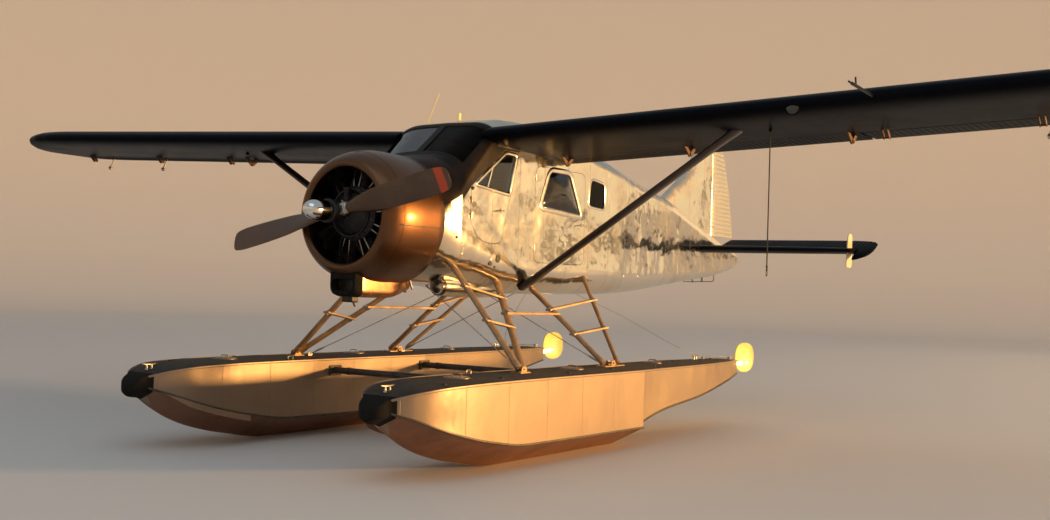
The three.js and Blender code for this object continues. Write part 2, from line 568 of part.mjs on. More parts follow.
for (const y of [420, 1300, 2120]) {
  const slotHalf = ARM.half + SEAT;
  elevator = elevator.subtract(roller(tailAxis(y - slotHalf), tailAxis(y + slotHalf), TAIL.nose + 8));
  stabilizer = join([stabilizer, block([TAIL.hinge - 90, TAIL.hinge], [y - ARM.half, y + ARM.half],
    [TAIL.height - 8, TAIL.height + 8]), roller(tailAxis(y - ARM.half), tailAxis(y + ARM.half), 15, 8)]);
}
const endFin = sidePrism(rounded([[7790, -250], [8000, -250], [8000, 190], [7850, 190]], 60), 2150, 2162);
const [axisX, axisZ] = [X(TAIL.hinge), Z(TAIL.height)];
const raised = toSolid(
  toGeometry(elevator).translate(-axisX, 0, -axisZ).rotateY(radians(TAIL.up)).translate(axisX, 0, axisZ));
placePair("stabilizer", stabilizer.add(endFin), "navy");
placePair("elevator", raised, "navy");

// Floats: vee bottom with a flat keel strip, a step under the wing, a rising afterbody and a crowned deck
const FLOAT_ROWS = [
  // station, half beam, keel, chine, deck edge, deck top
  [-610, 130, -1690, -1618, -1522, -1510], [-560, 185, -1738, -1640, -1504, -1492],
  [-450, 262, -1812, -1678, -1474, -1460], [-250, 340, -1920, -1750, -1444, -1428],
  [0, 374, -2012, -1822, -1430, -1412], [400, 384, -2105, -1905, -1422, -1402],
  [950, 385, -THRUST_Z, -1972, -1420, DECK], [3050, 385, -THRUST_Z, -1990, -1424, DECK],
  [3056, 378, -2088, -1930, -1424, DECK], [4500, 330, -1868, -1752, -1424, DECK],
  [5430, 215, -1720, -1645, -1430, -1404], [5960, 95, -1628, -1594, -1440, -1420],
];
const KEEL_STRIP = 20;
const DECK_STRIP = 0.32;
const floatRing = ([station, half, keel, chine, edge, top]) => {
  const right = [[KEEL_STRIP, keel], [half, chine], [half, edge], [0.72 * half, edge + 0.7 * (top - edge)],
    [DECK_STRIP * half, top]];
  const ring = [...right, ...right.slice().reverse().map(([y, height]) => [-y, height])];
  return ring.map(([y, height]) => at(station, FLOAT_Y + y, height));
};
const floatBody = loft(FLOAT_ROWS.map(floatRing));
const bumper = loft([
  // station, half width, bottom, top
  [-740, 30, -1672, -1592], [-728, 62, -1690, -1574], [-700, 96, -1700, -1548], [-655, 122, -1706, -1520],
  [-610 - SEAT, 134, -1712, -1504],
].map(([station, half, low, high]) => rounded([[-half, low], [half, low], [half, high], [-half, high]], 26)
  .map(([y, height]) => at(station, FLOAT_Y + y, height))));
// Mooring cleats at bow and stern: [station, deck height]
const cleats = [[-480, -1468], [4990, -1402]].map(([station, deck]) => join([
  block([station - 25, station + 25], [FLOAT_Y - 12, FLOAT_Y + 12], [deck - 30, deck + 50]),
  block([station - 90, station + 90], [FLOAT_Y - 14, FLOAT_Y + 14], [deck + 45, deck + 70]),
]));
const GUDGEON = 20; // thickness and half width of the two arms that hold the post
const gudgeonHeights = [[POST.low - GUDGEON, POST.low - SEAT], [POST.high + SEAT, POST.high + GUDGEON]];
const gudgeons = gudgeonHeights.map((height) =>
  block([POST.station - 105, POST.station + GUDGEON], [FLOAT_Y - GUDGEON, FLOAT_Y + GUDGEON], height));
placePair("float", join([floatBody, ...cleats, ...gudgeons]), "aluminium");
placePair("bow_bumper", bumper, "black");

// Float struts: two vees a side with step boards, standing on deck fittings
const FEET = { front: 1390, rearA: 2890, rearB: 3170 };
const TOPS = { a: [1500, 485, -435], b: [2185, 522, -560], c: [2875, 478, -625], d: [3735, 595, -480] };
const footAt = (station, lean = 0) => at(station, FLOAT_Y + lean, DECK + 30);
const STRUT = { chord: 92, thick: 46 };
const fitting = (station, length) => block(
  [station - length / 2, station + length / 2], [FLOAT_Y - 60, FLOAT_Y + 60],
  [DECK + SEAT, DECK + 42]);
const strutPoint = (top, foot, share) => {
  const [from, to] = [at(...TOPS[top]), footAt(foot)];
  return from.map((value, k) => value + share * (to[k] - value));
};
const boardBetween = (topA, footA, topB, footB, share, width = 70) => {
  const [from, to] = [strutPoint(topA, footA, share), strutPoint(topB, footB, share)];
  return bar(from, to, width, 26, 8);
};
const skinSeat = join([fuselage, shifted(fuselage, 0, 0.3, -0.3)]);
const frontVee = cut(join([
  bar(at(...TOPS.a), footAt(FEET.front - 25), STRUT.chord, STRUT.thick),
  bar(at(...TOPS.b), footAt(FEET.front + 25), STRUT.chord, STRUT.thick), fitting(FEET.front, 190),
  boardBetween("a", FEET.front, "b", FEET.front, 0.22), boardBetween("a", FEET.front, "b", FEET.front, 0.55),
]), skinSeat);
const rearVee = cut(join([
  bar(at(...TOPS.c), footAt(FEET.rearA), STRUT.chord, STRUT.thick),
  bar(at(...TOPS.d), footAt(FEET.rearB), STRUT.chord * 0.7, STRUT.thick * 0.8),
  fitting((FEET.rearA + FEET.rearB) / 2, 420),
  boardBetween("c", FEET.rearA, "d", FEET.rearB, 0.3), boardBetween("c", FEET.rearA, "d", FEET.rearB, 0.62),
]), skinSeat);
const bridgeBoard = bar(strutPoint("b", FEET.front, 0.4), strutPoint("c", FEET.rearA, 0.36), 80, 26, 8);
const bridge = cut(bridgeBoard, frontVee, shifted(frontVee, -2 * SEAT, 0, 0));
placePair("front_float_struts", frontVee, "strutMetal");
placePair("rear_float_struts", rearVee.add(bridge), "strutMetal");

// Spreader bars between the floats
for (const [name, station] of [["front_spreader_bar", 1560], ["rear_spreader_bar", 3030]]) {
  const height = -1530;
  const tube = bar(at(station, -FLOAT_Y, height), at(station, FLOAT_Y, height), 96, 64, 12);
  const inside = cut(tube, floatBody, shifted(floatBody, 0, -SEAT, 0));
  place(name, cut(inside, mirrored(floatBody), shifted(mirrored(floatBody), 0, SEAT, 0)), "black");
}

// Crossed bracing wires, tied where they cross
const BRACING = [
  // name, station of the foot, station, y and height of the top on the other side
  ["front_bracing", 1500, 1960, -180, -640], ["rear_bracing", 3010, 3000, -330, -640],
];
for (const [name, foot, ...top] of BRACING) {
  const wire = bar(at(foot, FLOAT_Y - 90, DECK + 20), at(...top), 9, 9, 6);
  const cross = wire.add(mirrored(wire));
  const feet = [floatBody, mirrored(floatBody)].map((solid) => shifted(solid, 0, 0, SEAT));
  const struts = [frontVee, mirrored(frontVee), rearVee, mirrored(rearVee)];
  place(name, cut(cross, shifted(fuselage, 0, 0, -SEAT), ...feet, ...struts), "darkMetal");
}

// Water rudders: a post on the stern that steers, and a blade that lifts on it. Both are drawn straight
const LIFT = -1486; // height of the pivot on which the blade lifts
const HELD_OVER = radians(-16); // then turned, with their trailing edges to port
const PIVOT = POST.station + 60;
const post = join([
  bar(at(POST.station, FLOAT_Y, POST.low), at(POST.station, FLOAT_Y, POST.high), 32, 32, 12),
  block([POST.station, POST.station + 70], [FLOAT_Y - 5, FLOAT_Y + 5], [-1510, POST.high]),
  roller(at(PIVOT, FLOAT_Y - 5, LIFT), at(PIVOT, FLOAT_Y + 5, LIFT), 24, 10),
]);
const PADDLE = { station: POST.station + 235, height: -1408, radius: 180, corners: 20 };
const bladeOutline = Array.from({ length: PADDLE.corners }, (_, i) => {
  const turn = (2 * Math.PI * i) / PADDLE.corners;
  return [PADDLE.station + PADDLE.radius * Math.cos(turn), PADDLE.height + PADDLE.radius * Math.sin(turn)];
});
const bladeSheet = sidePrism(bladeOutline, FLOAT_Y - 10.3, FLOAT_Y + 10.3)
  .subtract(roller(at(PIVOT, FLOAT_Y - 30, LIFT), at(PIVOT, FLOAT_Y + 30, LIFT), 45, 12));
const CHEEK = 5; // thickness of the post's tongue's half and of each cheek beside it
const cheeks = [CHEEK + SEAT, -CHEEK - SEAT - CHEEK].map((offset) => block(
  [POST.station + 38, POST.station + 195], [FLOAT_Y + offset, FLOAT_Y + offset + CHEEK], [LIFT - 22, LIFT + 42],
));
const waterRudder = { post, blade: join([bladeSheet, ...cheeks]) };
for (const [name, slot] of [["post", "aluminium"], ["blade", "pale"]]) {
  for (const [side, y] of [["port", FLOAT_Y], ["starboard", -FLOAT_Y]]) {
    const held = toGeometry(waterRudder[name]).translate(-X(POST.station), -FLOAT_Y, 0).rotateZ(HELD_OVER)
      .translate(X(POST.station), y, 0);
    place(`${side}_water_rudder_${name}`, toSolid(held), slot);
  }
}

// A tie-down rope hanging from the lug of the port wing, with a hook on its end
const ropeAt = (drop) => at(ROPE.station, ROPE.y, lugFoot - SEAT - drop);
const HOOK = { eye: 60, overlap: 10, end: 100 };
place("tie_down_rope", bar(ropeAt(0), ropeAt(ROPE.length), 2 * ROPE.radius, 2 * ROPE.radius, 8), "rope");
place("tie_down_hook", join([
  bar(ropeAt(ROPE.length + SEAT), ropeAt(ROPE.length + HOOK.eye), 20, 20, 8),
  bar(ropeAt(ROPE.length + HOOK.eye - HOOK.overlap), ropeAt(ROPE.length + HOOK.end), 34, 14, 8),
]), "rope");

export default model;
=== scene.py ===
# %% [markdown]
# # A floatplane, dressed around its fixed model
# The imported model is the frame: it holds every size, joint and seat. This lesson gives it its looks.
# Smooth skins are worked out as grids of points, cut where the real panels part, and then finished with
# materials for polished sheet, gloss paint, cast metal, rubber and glass.

import bpy
import numpy as np
from mathutils import Matrix, Vector


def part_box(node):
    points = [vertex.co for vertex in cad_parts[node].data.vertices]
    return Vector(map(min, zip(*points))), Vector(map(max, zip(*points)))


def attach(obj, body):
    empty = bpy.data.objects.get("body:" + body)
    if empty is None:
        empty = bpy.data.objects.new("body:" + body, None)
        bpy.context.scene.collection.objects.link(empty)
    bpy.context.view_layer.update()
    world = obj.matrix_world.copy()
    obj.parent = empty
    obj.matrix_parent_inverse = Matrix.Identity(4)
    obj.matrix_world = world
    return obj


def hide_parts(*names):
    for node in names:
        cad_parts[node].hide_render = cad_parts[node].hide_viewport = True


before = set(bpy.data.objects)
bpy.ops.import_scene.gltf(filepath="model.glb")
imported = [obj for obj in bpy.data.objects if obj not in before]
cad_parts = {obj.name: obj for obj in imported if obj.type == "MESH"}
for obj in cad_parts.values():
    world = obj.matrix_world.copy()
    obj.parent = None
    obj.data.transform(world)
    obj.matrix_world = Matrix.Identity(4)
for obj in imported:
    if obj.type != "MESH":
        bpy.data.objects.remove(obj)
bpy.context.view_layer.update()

print("nodes in the frame:", len(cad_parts))

# %% [markdown]
# ## Stations and heights
# An aircraft is measured in stations: distances aft of a fixed point, here the tip of the propeller's dome.
# Heights are taken from the thrust line. One function turns them into the frame's own X, Y and Z.

# %% Stations and heights, in metres
NOSE_X = 4.250
THRUST_Z = 2.180
FLOAT_Y = 1.380


def spot(station, y, height):
    """Frame points of stations, y and heights, for whole arrays at once."""
    parts = np.broadcast_arrays(NOSE_X - np.asarray(station, float), y, THRUST_Z + np.asarray(height, float))
    return np.stack(parts, axis=-1)


def trail(points):
    """Frame points of a list of (station, y, height)."""
    return spot(*np.asarray(points, float).T)

# %% [markdown]
# ## The camera
# It stands on the bank, a little above the deck of the floats, and looks at the port bow. Its place and lens
# were worked out from the known span, chord, propeller and tail of this type of aircraft.

# %% Camera
CAMERA_AT = Vector((12.233, 7.559, 1.574))
CAMERA_AIM = Vector((-0.83501, -0.54987, 0.02002)).normalized()
CAMERA_ROLL = 0.031
CAMERA_LENS = 42.673

level = CAMERA_AIM.cross(Vector((0, 0, 1))).normalized()
rise = level.cross(CAMERA_AIM)
camera_x = np.cos(CAMERA_ROLL) * level + np.sin(CAMERA_ROLL) * rise
camera_y = np.cos(CAMERA_ROLL) * rise - np.sin(CAMERA_ROLL) * level
camera = bpy.data.objects.new("bank_camera", bpy.data.cameras.new("bank_camera"))
camera.data.lens = CAMERA_LENS
camera.data.sensor_width = 36
camera.data.clip_end = 400
camera.matrix_world = Matrix.Translation(CAMERA_AT) @ Matrix((camera_x, camera_y, -CAMERA_AIM)).transposed().to_4x4()
bpy.context.scene.collection.objects.link(camera)
bpy.context.scene.camera = camera
print("lens", CAMERA_LENS, "mm at", tuple(round(v, 2) for v in CAMERA_AT))

# %% [markdown]
# ## Shapes as arrays
# A shape here is a pair: an array of points, and a list of face arrays that index it. Rings of points joined
# into a skin make almost every part of an aircraft, so `loft` is the main tool, and the others feed it.

# %% Shapes from rings
def outward(shape):
    """The same shape with its faces pointing out: the sum of signed corner volumes must be positive."""
    points, faces = shape
    volume = 0.0
    for group in faces:
        corner = points[group[:, 0]]
        for k in range(1, group.shape[1] - 1):
            volume += np.einsum("ij,ij->", corner, np.cross(points[group[:, k]], points[group[:, k + 1]]))
    return (points, [group[:, ::-1] for group in faces]) if volume < 0 else shape


def loft(rings, ends=True, closed=False):
    """A skin through rings (rings, points, 3), each ring closed. The ends are flat faces, or the rings close up."""
    rings = np.asarray(rings, float)
    rows, around = rings.shape[:2]
    index = np.arange(rows * around).reshape(rows, around)
    following = np.roll(index, -1, axis=0) if closed else index[1:]
    current = index if closed else index[:-1]
    quads = np.stack([current, np.roll(current, -1, 1), np.roll(following, -1, 1), following], -1).reshape(-1, 4)
    faces = [quads]
    if ends and not closed:
        faces += [index[:1, ::-1], index[-1:]]
    return outward((rings.reshape(-1, 3), faces))


def merged(*shapes):
    """Several shapes as one, their points and faces laid end to end."""
    points, faces, base = [], [], 0
    for shape_points, shape_faces in shapes:
        points.append(shape_points)
        faces += [group + base for group in shape_faces]
        base += len(shape_points)
    return np.concatenate(points), faces


def other_side(shape):
    """The shape mirrored to the other side of the aircraft, its faces turned to point out again."""
    points, faces = shape
    return points * [1, -1, 1], [group[:, ::-1] for group in faces]


def rotated(shape, angle, axis, pivot, to=None):
    """A shape turned by the right-hand rule about X, Y or Z (axis 0, 1, 2), its pivot set down at `to`."""
    points, faces = shape
    one, two = (axis + 1) % 3, (axis + 2) % 3
    turn = np.eye(3)
    turn[one, one] = turn[two, two] = np.cos(angle)
    turn[one, two], turn[two, one] = -np.sin(angle), np.sin(angle)
    return (points - pivot) @ turn.T + (pivot if to is None else to), faces


# %% [markdown]
# Smooth outlines come from a few points. A Catmull-Rom curve passes through each of them, its tangent at a
# point being half the step from the point before to the one after, so a handful of sizes gives a whole curve.

# %% Smooth lines through a few points
def smooth(points, steps=8, closed=False):
    """A Catmull-Rom curve through the points, with this many steps between two of them."""
    points = np.asarray(points, float)
    if closed:
        before, after = np.roll(points, 1, 0), np.roll(points, -1, 0)
        beyond = np.roll(points, -2, 0)
    else:
        wide = np.concatenate([2 * points[:1] - points[1:2], points, 2 * points[-1:] - points[-2:-1]])
        before, points, after, beyond = wide[:-3], wide[1:-2], wide[2:-1], wide[3:]
    t = np.linspace(0, 1, steps, endpoint=False)[None, :, None]
    a, b, c, d = (part[:, None, :] for part in (before, points, after, beyond))
    curve = 0.5 * (2 * b + (c - a) * t + (2 * a - 5 * b + 4 * c - d) * t**2 + (3 * b - a - 3 * c + d) * t**3)
    curve = curve.reshape(-1, curve.shape[-1])
    return curve if closed else np.concatenate([curve, after[-1:]])


def eased(table, at):
    """Columns of a table read at new values of its first column, with slopes that never overshoot."""
    table = np.asarray(table, float)
    x, values = table[:, 0], table[:, 1:]
    step = np.diff(x)[:, None]
    slope = np.diff(values, axis=0) / step
    inner = np.where(slope[:-1] * slope[1:] > 0, 2 * slope[:-1] * slope[1:] / (slope[:-1] + slope[1:] + 1e-12), 0)
    tangent = np.concatenate([slope[:1], inner, slope[-1:]])
    at = np.asarray(at, float)
    i = np.clip(np.searchsorted(x, at, side="right") - 1, 0, len(x) - 2)
    t = ((at - x[i]) / np.diff(x)[i])[:, None]
    h = np.diff(x)[i][:, None]
    return ((1 + 2 * t) * (1 - t) ** 2 * values[i] + t * (1 - t) ** 2 * h * tangent[i]
            + t**2 * (3 - 2 * t) * values[i + 1] + t**2 * (t - 1) * h * tangent[i + 1])


def rounded(outline, radius, steps=6):
    """A polygon whose corners are short parabolic arcs of about this radius."""
    outline = np.asarray(outline, float)
    def cut_back(other):
        length = np.linalg.norm(other - outline, axis=1, keepdims=True)
        return outline + (other - outline) / length * np.minimum(radius, 0.45 * length)
    start, end = cut_back(np.roll(outline, 1, 0)), cut_back(np.roll(outline, -1, 0))
    t = np.linspace(0, 1, steps)[None, :, None]
    arc = (1 - t) ** 2 * start[:, None] + 2 * t * (1 - t) * outline[:, None] + t**2 * end[:, None]
    return arc.reshape(-1, outline.shape[1])

# %% [markdown]
# Tubes, struts and wires are one profile carried along a path. The profile turns with the path by keeping its
# first direction as square to the path as it can, which is enough for the gentle bends of an aircraft's tubes.

# %% Profiles carried along a path
def angles(count):
    """Even steps round a full turn."""
    return 2 * np.pi * np.arange(count) / count


def circle(sides, radius=1.0):
    turn = 2 * np.pi * (np.arange(sides) + 0.5) / sides
    return radius * np.stack([np.cos(turn), np.sin(turn)], -1)


def streamline(chord, thick, sides=24):
    """A strut section: an oval whose after half is drawn out to a soft edge."""
    oval = circle(sides)
    blunt = np.where(oval[:, 0] > 0, 0.38, 0.62)
    width = np.where(oval[:, 0] > 0, 1.0, 1 - 0.35 * oval[:, 0] ** 2)
    return np.stack([chord * oval[:, 0] * blunt, 0.5 * thick * oval[:, 1] * width], -1)


def carried(path, profile, fore=(1, 0, 0), scale=1.0):
    """A profile (points, 2) carried along a path (points, 3), its first axis kept towards `fore`."""
    path, profile = np.asarray(path, float), np.asarray(profile, float)
    along = np.gradient(path, axis=0)
    along /= np.linalg.norm(along, axis=1, keepdims=True)
    wide = np.asarray(fore, float) - along * (along @ np.asarray(fore, float))[:, None]
    wide /= np.linalg.norm(wide, axis=1, keepdims=True)
    deep = np.cross(along, wide)
    scale = np.broadcast_to(np.asarray(scale, float), (len(path),))[:, None, None]
    return loft(path[:, None] + scale * (profile[None, :, :1] * wide[:, None] + profile[None, :, 1:] * deep[:, None]))


def tube(path, radius, sides=12, fore=(1, 0, 0)):
    return carried(path, circle(sides, radius), fore)


def rod(start, end, radius, sides=12, fore=(1, 0, 0)):
    return tube([start, end], radius, sides, fore)


def turned(profile, height, y=0.0, segments=64, closed=False):
    """A profile of station and radius turned about a fore-and-aft line."""
    profile = np.asarray(profile, float)
    station, radius, turn = profile[:, :1], np.maximum(profile[:, 1:], 1e-5), angles(segments)
    return loft(spot(station, y + radius * np.sin(turn), height + radius * np.cos(turn)), closed=closed)


def slab(outline, low, high, axis="y"):
    """A flat plate: an outline of station and height (or y) carried from low to high across the other axis."""
    first, second = np.asarray(outline, float).T
    return loft([spot(first, level, second) if axis == "y" else spot(first, second, level) for level in (low, high)])


def corners(first, second):
    """The four corners of a rectangle, from its reach along each axis."""
    return [(first[0], second[0]), (first[1], second[0]), (first[1], second[1]), (first[0], second[1])]


def box(station, y, height):
    return slab(corners(station, height), *y)


def disc(station, height, radius, low, high, sides=24):
    """A short roller across the aircraft: boss, bolt head or pulley."""
    turn = angles(sides)
    return slab(np.stack([station + radius * np.cos(turn), height + radius * np.sin(turn)], -1), low, high)

# %% [markdown]
# ## From arrays to Blender
# A piece is made once its points are final. Two skins are cut or joined with a Boolean modifier, as a maker
# cuts a window out of a panel, and the result is applied at once. Edges sharper than a limit stay crisp.

# %% Make a mesh and cut it
def new_object(name, shape):
    """A mesh object from a shape: its faces go in as they are, because each shape already points outwards."""
    points, faces = shape
    mesh = bpy.data.meshes.new(name)
    mesh.from_pydata(points.tolist(), [], [face for group in faces for face in group.tolist()])
    mesh.update()
    made = bpy.data.objects.new(name, mesh)
    bpy.context.scene.collection.objects.link(made)
    return made


def shape_of(mesh):
    """The points and faces of a mesh as arrays, faces of one size together."""
    points = np.empty(len(mesh.vertices) * 3)
    mesh.vertices.foreach_get("co", points)
    corner, totals, starts = (np.empty(n, int) for n in (len(mesh.loops), *(len(mesh.polygons),) * 2))
    mesh.loops.foreach_get("vertex_index", corner)
    mesh.polygons.foreach_get("loop_total", totals)
    mesh.polygons.foreach_get("loop_start", starts)
    faces = [corner[starts[totals == size][:, None] + np.arange(size)] for size in np.unique(totals)]
    return points.reshape(-1, 3), faces


def combined(shape, steps):
    """A shape after a list of (operation, shape) steps: DIFFERENCE, INTERSECT or UNION, one after another."""
    body = new_object("body", shape)
    tools = []
    for operation, tool_shape in steps:
        tools.append(new_object("tool", tool_shape))
        modifier = body.modifiers.new(operation, "BOOLEAN")
        modifier.operation, modifier.object, modifier.solver = operation, tools[-1], "MANIFOLD"
    evaluated = body.evaluated_get(bpy.context.evaluated_depsgraph_get())
    result = shape_of(bpy.data.meshes.new_from_object(evaluated))
    for item in [body, *tools]:
        bpy.data.objects.remove(item)
    return result


def less(*tools):
    """Steps that cut the tools away."""
    return [("DIFFERENCE", tool) for tool in tools]


def within(*tools):
    """Steps that keep only what lies inside each tool."""
    return [("INTERSECT", tool) for tool in tools]


# %% Finish a piece: smooth shading, material, body and the nodes that it stands for
def piece(name, shape, material, body="airframe", replaces=(), crease=32):
    made = new_object(name, shape)
    made.data.shade_smooth()
    made.data.set_sharp_from_angle(angle=np.radians(crease))
    made.data.materials.append(MATERIALS[material])
    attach(made, body)
    if replaces:
        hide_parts(*replaces)
    return made


def pair(name, shape, material, body=None, replaces=False, crease=32):
    """The port piece and its mirror image. With `replaces`, each stands for the node of its own name."""
    for side, half in (("port", shape), ("starboard", other_side(shape))):
        full = f"{side}_{name}"
        piece(full + "_skin", half, material, f"{side}_{body}" if body else "airframe",
              replaces=[full] if replaces else (), crease=crease)

# %% [markdown]
# ## Finishes
# Polished bare sheet is never a perfect mirror: it ripples between its rivets, dulls where hands and feet go,
# and carries rows of rivets and lapped seams. Each of these effects is a node group, built once, and each
# material places it with its own values.

# %% Node group helpers
def group_of(name, inputs, outputs):
    """An empty node group. Inputs are names with a start value, or None for a vector; outputs are numbers."""
    group = bpy.data.node_groups.new(name, "ShaderNodeTree")
    for label, value in inputs.items():
        kind = "NodeSocketVector" if value is None else "NodeSocketFloat"
        socket = group.interface.new_socket(label, in_out="INPUT", socket_type=kind)
        if value is not None:
            socket.default_value = value
    for label in outputs:
        group.interface.new_socket(label, in_out="OUTPUT", socket_type="NodeSocketFloat")
    return group, group.nodes.new("NodeGroupInput").outputs, group.nodes.new("NodeGroupOutput").inputs


def feed(tree, value, socket):
    """A socket linked to the value where that is a socket too, or else set to it."""
    if isinstance(value, bpy.types.NodeSocket):
        tree.links.new(value, socket)
    else:
        socket.default_value = value


def math_node(tree, operation, *values, clamp=False):
    """A Math node whose inputs are sockets or plain numbers. Gives its output socket."""
    node = tree.nodes.new("ShaderNodeMath")
    node.operation, node.use_clamp = operation, clamp
    for socket, value in zip(node.inputs, values):
        feed(tree, value, socket)
    return node.outputs[0]


def noise_of(tree, vector, scale, detail=3.0, roughness=0.55, stretch=None):
    """Noise on the given coordinates, stretched along an axis where a Mapping is asked for."""
    if stretch is not None:
        mapping = tree.nodes.new("ShaderNodeMapping")
        mapping.inputs["Scale"].default_value = stretch
        tree.links.new(vector, mapping.inputs["Vector"])
        vector = mapping.outputs[0]
    node = tree.nodes.new("ShaderNodeTexNoise")
    for label, value in (("Scale", scale), ("Detail", detail), ("Roughness", roughness), ("Vector", vector)):
        feed(tree, value, node.inputs[label])
    return node.outputs["Fac"]


def ramp_of(tree, value, low, high):
    """A value between 0 at `low` and 1 at `high`, eased at both ends."""
    node = tree.nodes.new("ShaderNodeMapRange")
    node.interpolation_type = "SMOOTHSTEP"
    for label, given in (("From Min", low), ("From Max", high), ("Value", value)):
        feed(tree, given, node.inputs[label])
    return node.outputs[0]


def axes_of(tree, vector):
    node = tree.nodes.new("ShaderNodeSeparateXYZ")
    tree.links.new(vector, node.inputs[0])
    return node.outputs[0], node.outputs[1], node.outputs[2]


# %% Group: rows of rivets and lapped seams
def make_rivets():
    """Dots on a line: the distance to the nearest point of a grid, Row apart one way and Pitch the other."""
    group, given, out = group_of("rivets_and_seams", {"Along": 0.0, "Across": 0.0, "Row": 0.3, "Pitch": 0.04,
                                                      "Head": 0.006, "Lap": 0.0025}, ("Rivet", "Seam"))
    def offset(value, gap):
        return math_node(group, "PINGPONG", value, math_node(group, "MULTIPLY", gap, 0.5))
    row, dot = offset(given["Across"], given["Row"]), offset(given["Along"], given["Pitch"])
    aside = math_node(group, "SUBTRACT", row, math_node(group, "MULTIPLY", given["Head"], 2.2))
    distance = math_node(group, "SQRT", math_node(group, "ADD", math_node(group, "MULTIPLY", aside, aside),
                                                  math_node(group, "MULTIPLY", dot, dot)))
    ratio = math_node(group, "DIVIDE", distance, math_node(group, "MULTIPLY", given["Head"], 0.5))
    feed(group, math_node(group, "SUBTRACT", 1.0, ratio, clamp=True), out["Rivet"])
    lap = math_node(group, "DIVIDE", row, given["Lap"])
    feed(group, math_node(group, "SUBTRACT", 1.0, lap, clamp=True), out["Seam"])
    return group


def make_ripple():
    """Oil-canning: two broad noises added, as sheet lies between its frames, and a fine one for hand polish."""
    group, given, out = group_of("sheet_ripple", {"Vector": None, "Broad": 1.0, "Fine": 0.1}, ("Height",))
    broad = math_node(group, "MULTIPLY", noise_of(group, given["Vector"], 2.3, 1.0, 0.4), given["Broad"])
    middle = math_node(group, "MULTIPLY", noise_of(group, given["Vector"], 7.5, 1.0, 0.4), given["Broad"])
    fine = math_node(group, "MULTIPLY", noise_of(group, given["Vector"], 60.0, 3.0, 0.5), given["Fine"])
    smaller = math_node(group, "ADD", math_node(group, "MULTIPLY", middle, 0.25), fine)
    feed(group, math_node(group, "ADD", broad, smaller), out["Height"])
    return group


def make_grime():
    """Dirt and rain streaks: patches of noise, and noise drawn out downwards, as two masks."""
    group, given, out = group_of("grime", {"Vector": None, "Amount": 0.5, "Scale": 3.0}, ("Mask", "Streak"))
    scaled = group.nodes.new("ShaderNodeVectorMath")
    scaled.operation = "SCALE"
    feed(group, given["Vector"], scaled.inputs[0])
    feed(group, given["Scale"], scaled.inputs["Scale"])
    patches = ramp_of(group, noise_of(group, scaled.outputs[0], 1.0, 6.0, 0.62), 0.42, 0.78)
    streaks = ramp_of(group, noise_of(group, scaled.outputs[0], 6.0, 4.0, 0.6, (1, 1, 0.08)), 0.5, 0.8)
    feed(group, math_node(group, "MULTIPLY", patches, given["Amount"]), out["Mask"])
    feed(group, math_node(group, "MULTIPLY", streaks, given["Amount"]), out["Streak"])
    return group


def make_grain():
    """Fine surface tooth of castings, rubber and cloth: a cell pattern, with noise for the tone."""
    group, given, out = group_of("grain", {"Vector": None, "Size": 200.0}, ("Height", "Tone"))
    cells = group.nodes.new("ShaderNodeTexVoronoi")
    feed(group, given["Vector"], cells.inputs["Vector"])
    feed(group, given["Size"], cells.inputs["Scale"])
    feed(group, cells.outputs["Distance"], out["Height"])
    feed(group, noise_of(group, given["Vector"], 9.0, 5.0, 0.6), out["Tone"])
    return group


GROUPS = {"rivets": make_rivets(), "ripple": make_ripple(), "grime": make_grime(), "grain": make_grain()}
print("node groups:", ", ".join(GROUPS))

# %% [markdown]
# A material starts as a Principled shader with its plain numbers on the shader's own sockets. The groups then
# bring what changes over the surface: a mixed colour, a roughness, and a height that a Bump node turns into
# a normal.

# %% Start a material and place a group
def new_material(name, metallic=0.0, roughness=0.5, coat=0.0, specular=0.5, coat_roughness=0.08):
    material = bpy.data.materials.new(name)
    material.use_nodes = True
    tree = material.node_tree
    shader = tree.nodes["Principled BSDF"]
    for label, value in (("Metallic", metallic), ("Roughness", roughness), ("Coat Weight", coat),
                         ("Coat Roughness", coat_roughness), ("Specular IOR Level", specular)):
        shader.inputs[label].default_value = value
    return material, tree, shader, tree.nodes.new("ShaderNodeTexCoord").outputs["Object"]


def placed(tree, group, **values):
    node = tree.nodes.new("ShaderNodeGroup")
    node.node_tree = GROUPS[group]
    for label, value in values.items():
        feed(tree, value, node.inputs[label])
    return node.outputs


def mixed(tree, factor, first, second):
    """Two colours (tuples or sockets) mixed by a factor socket."""
    node = tree.nodes.new("ShaderNodeMix")
    node.data_type = "RGBA"
    tree.links.new(factor, node.inputs["Factor"])
    for index, value in ((6, first), (7, second)):
        feed(tree, (*value, 1.0) if isinstance(value, tuple) else value, node.inputs[index])
    return node.outputs[2]


def bumped(tree, shader, height, strength, distance):
    node = tree.nodes.new("ShaderNodeBump")
    for label, value in (("Strength", strength), ("Distance", distance), ("Height", height)):
        feed(tree, value, node.inputs[label])
    tree.links.new(node.outputs[0], shader.inputs["Normal"])

# %% Bare and painted sheet
RIVET_RISE, SEAM_DEPTH = 0.06, 0.08  # against a ripple's height of 1
SHEET_DEPTH = 0.02  # what a height of 1 stands for, in metres
SEAM_SHADE, SEAM_MIX = 0.3, 0.6
DIRT_ROUGHNESS = 0.22
# The red band is kept to the sunlit port blade: partly paint, partly painted sun glow
SUNLIT_BAND_INNER, SUNLIT_BAND_OUTER, SUNLIT_BAND_EDGE = 1.155, 1.258, 0.02  # the red band on a blade, from the thrust line


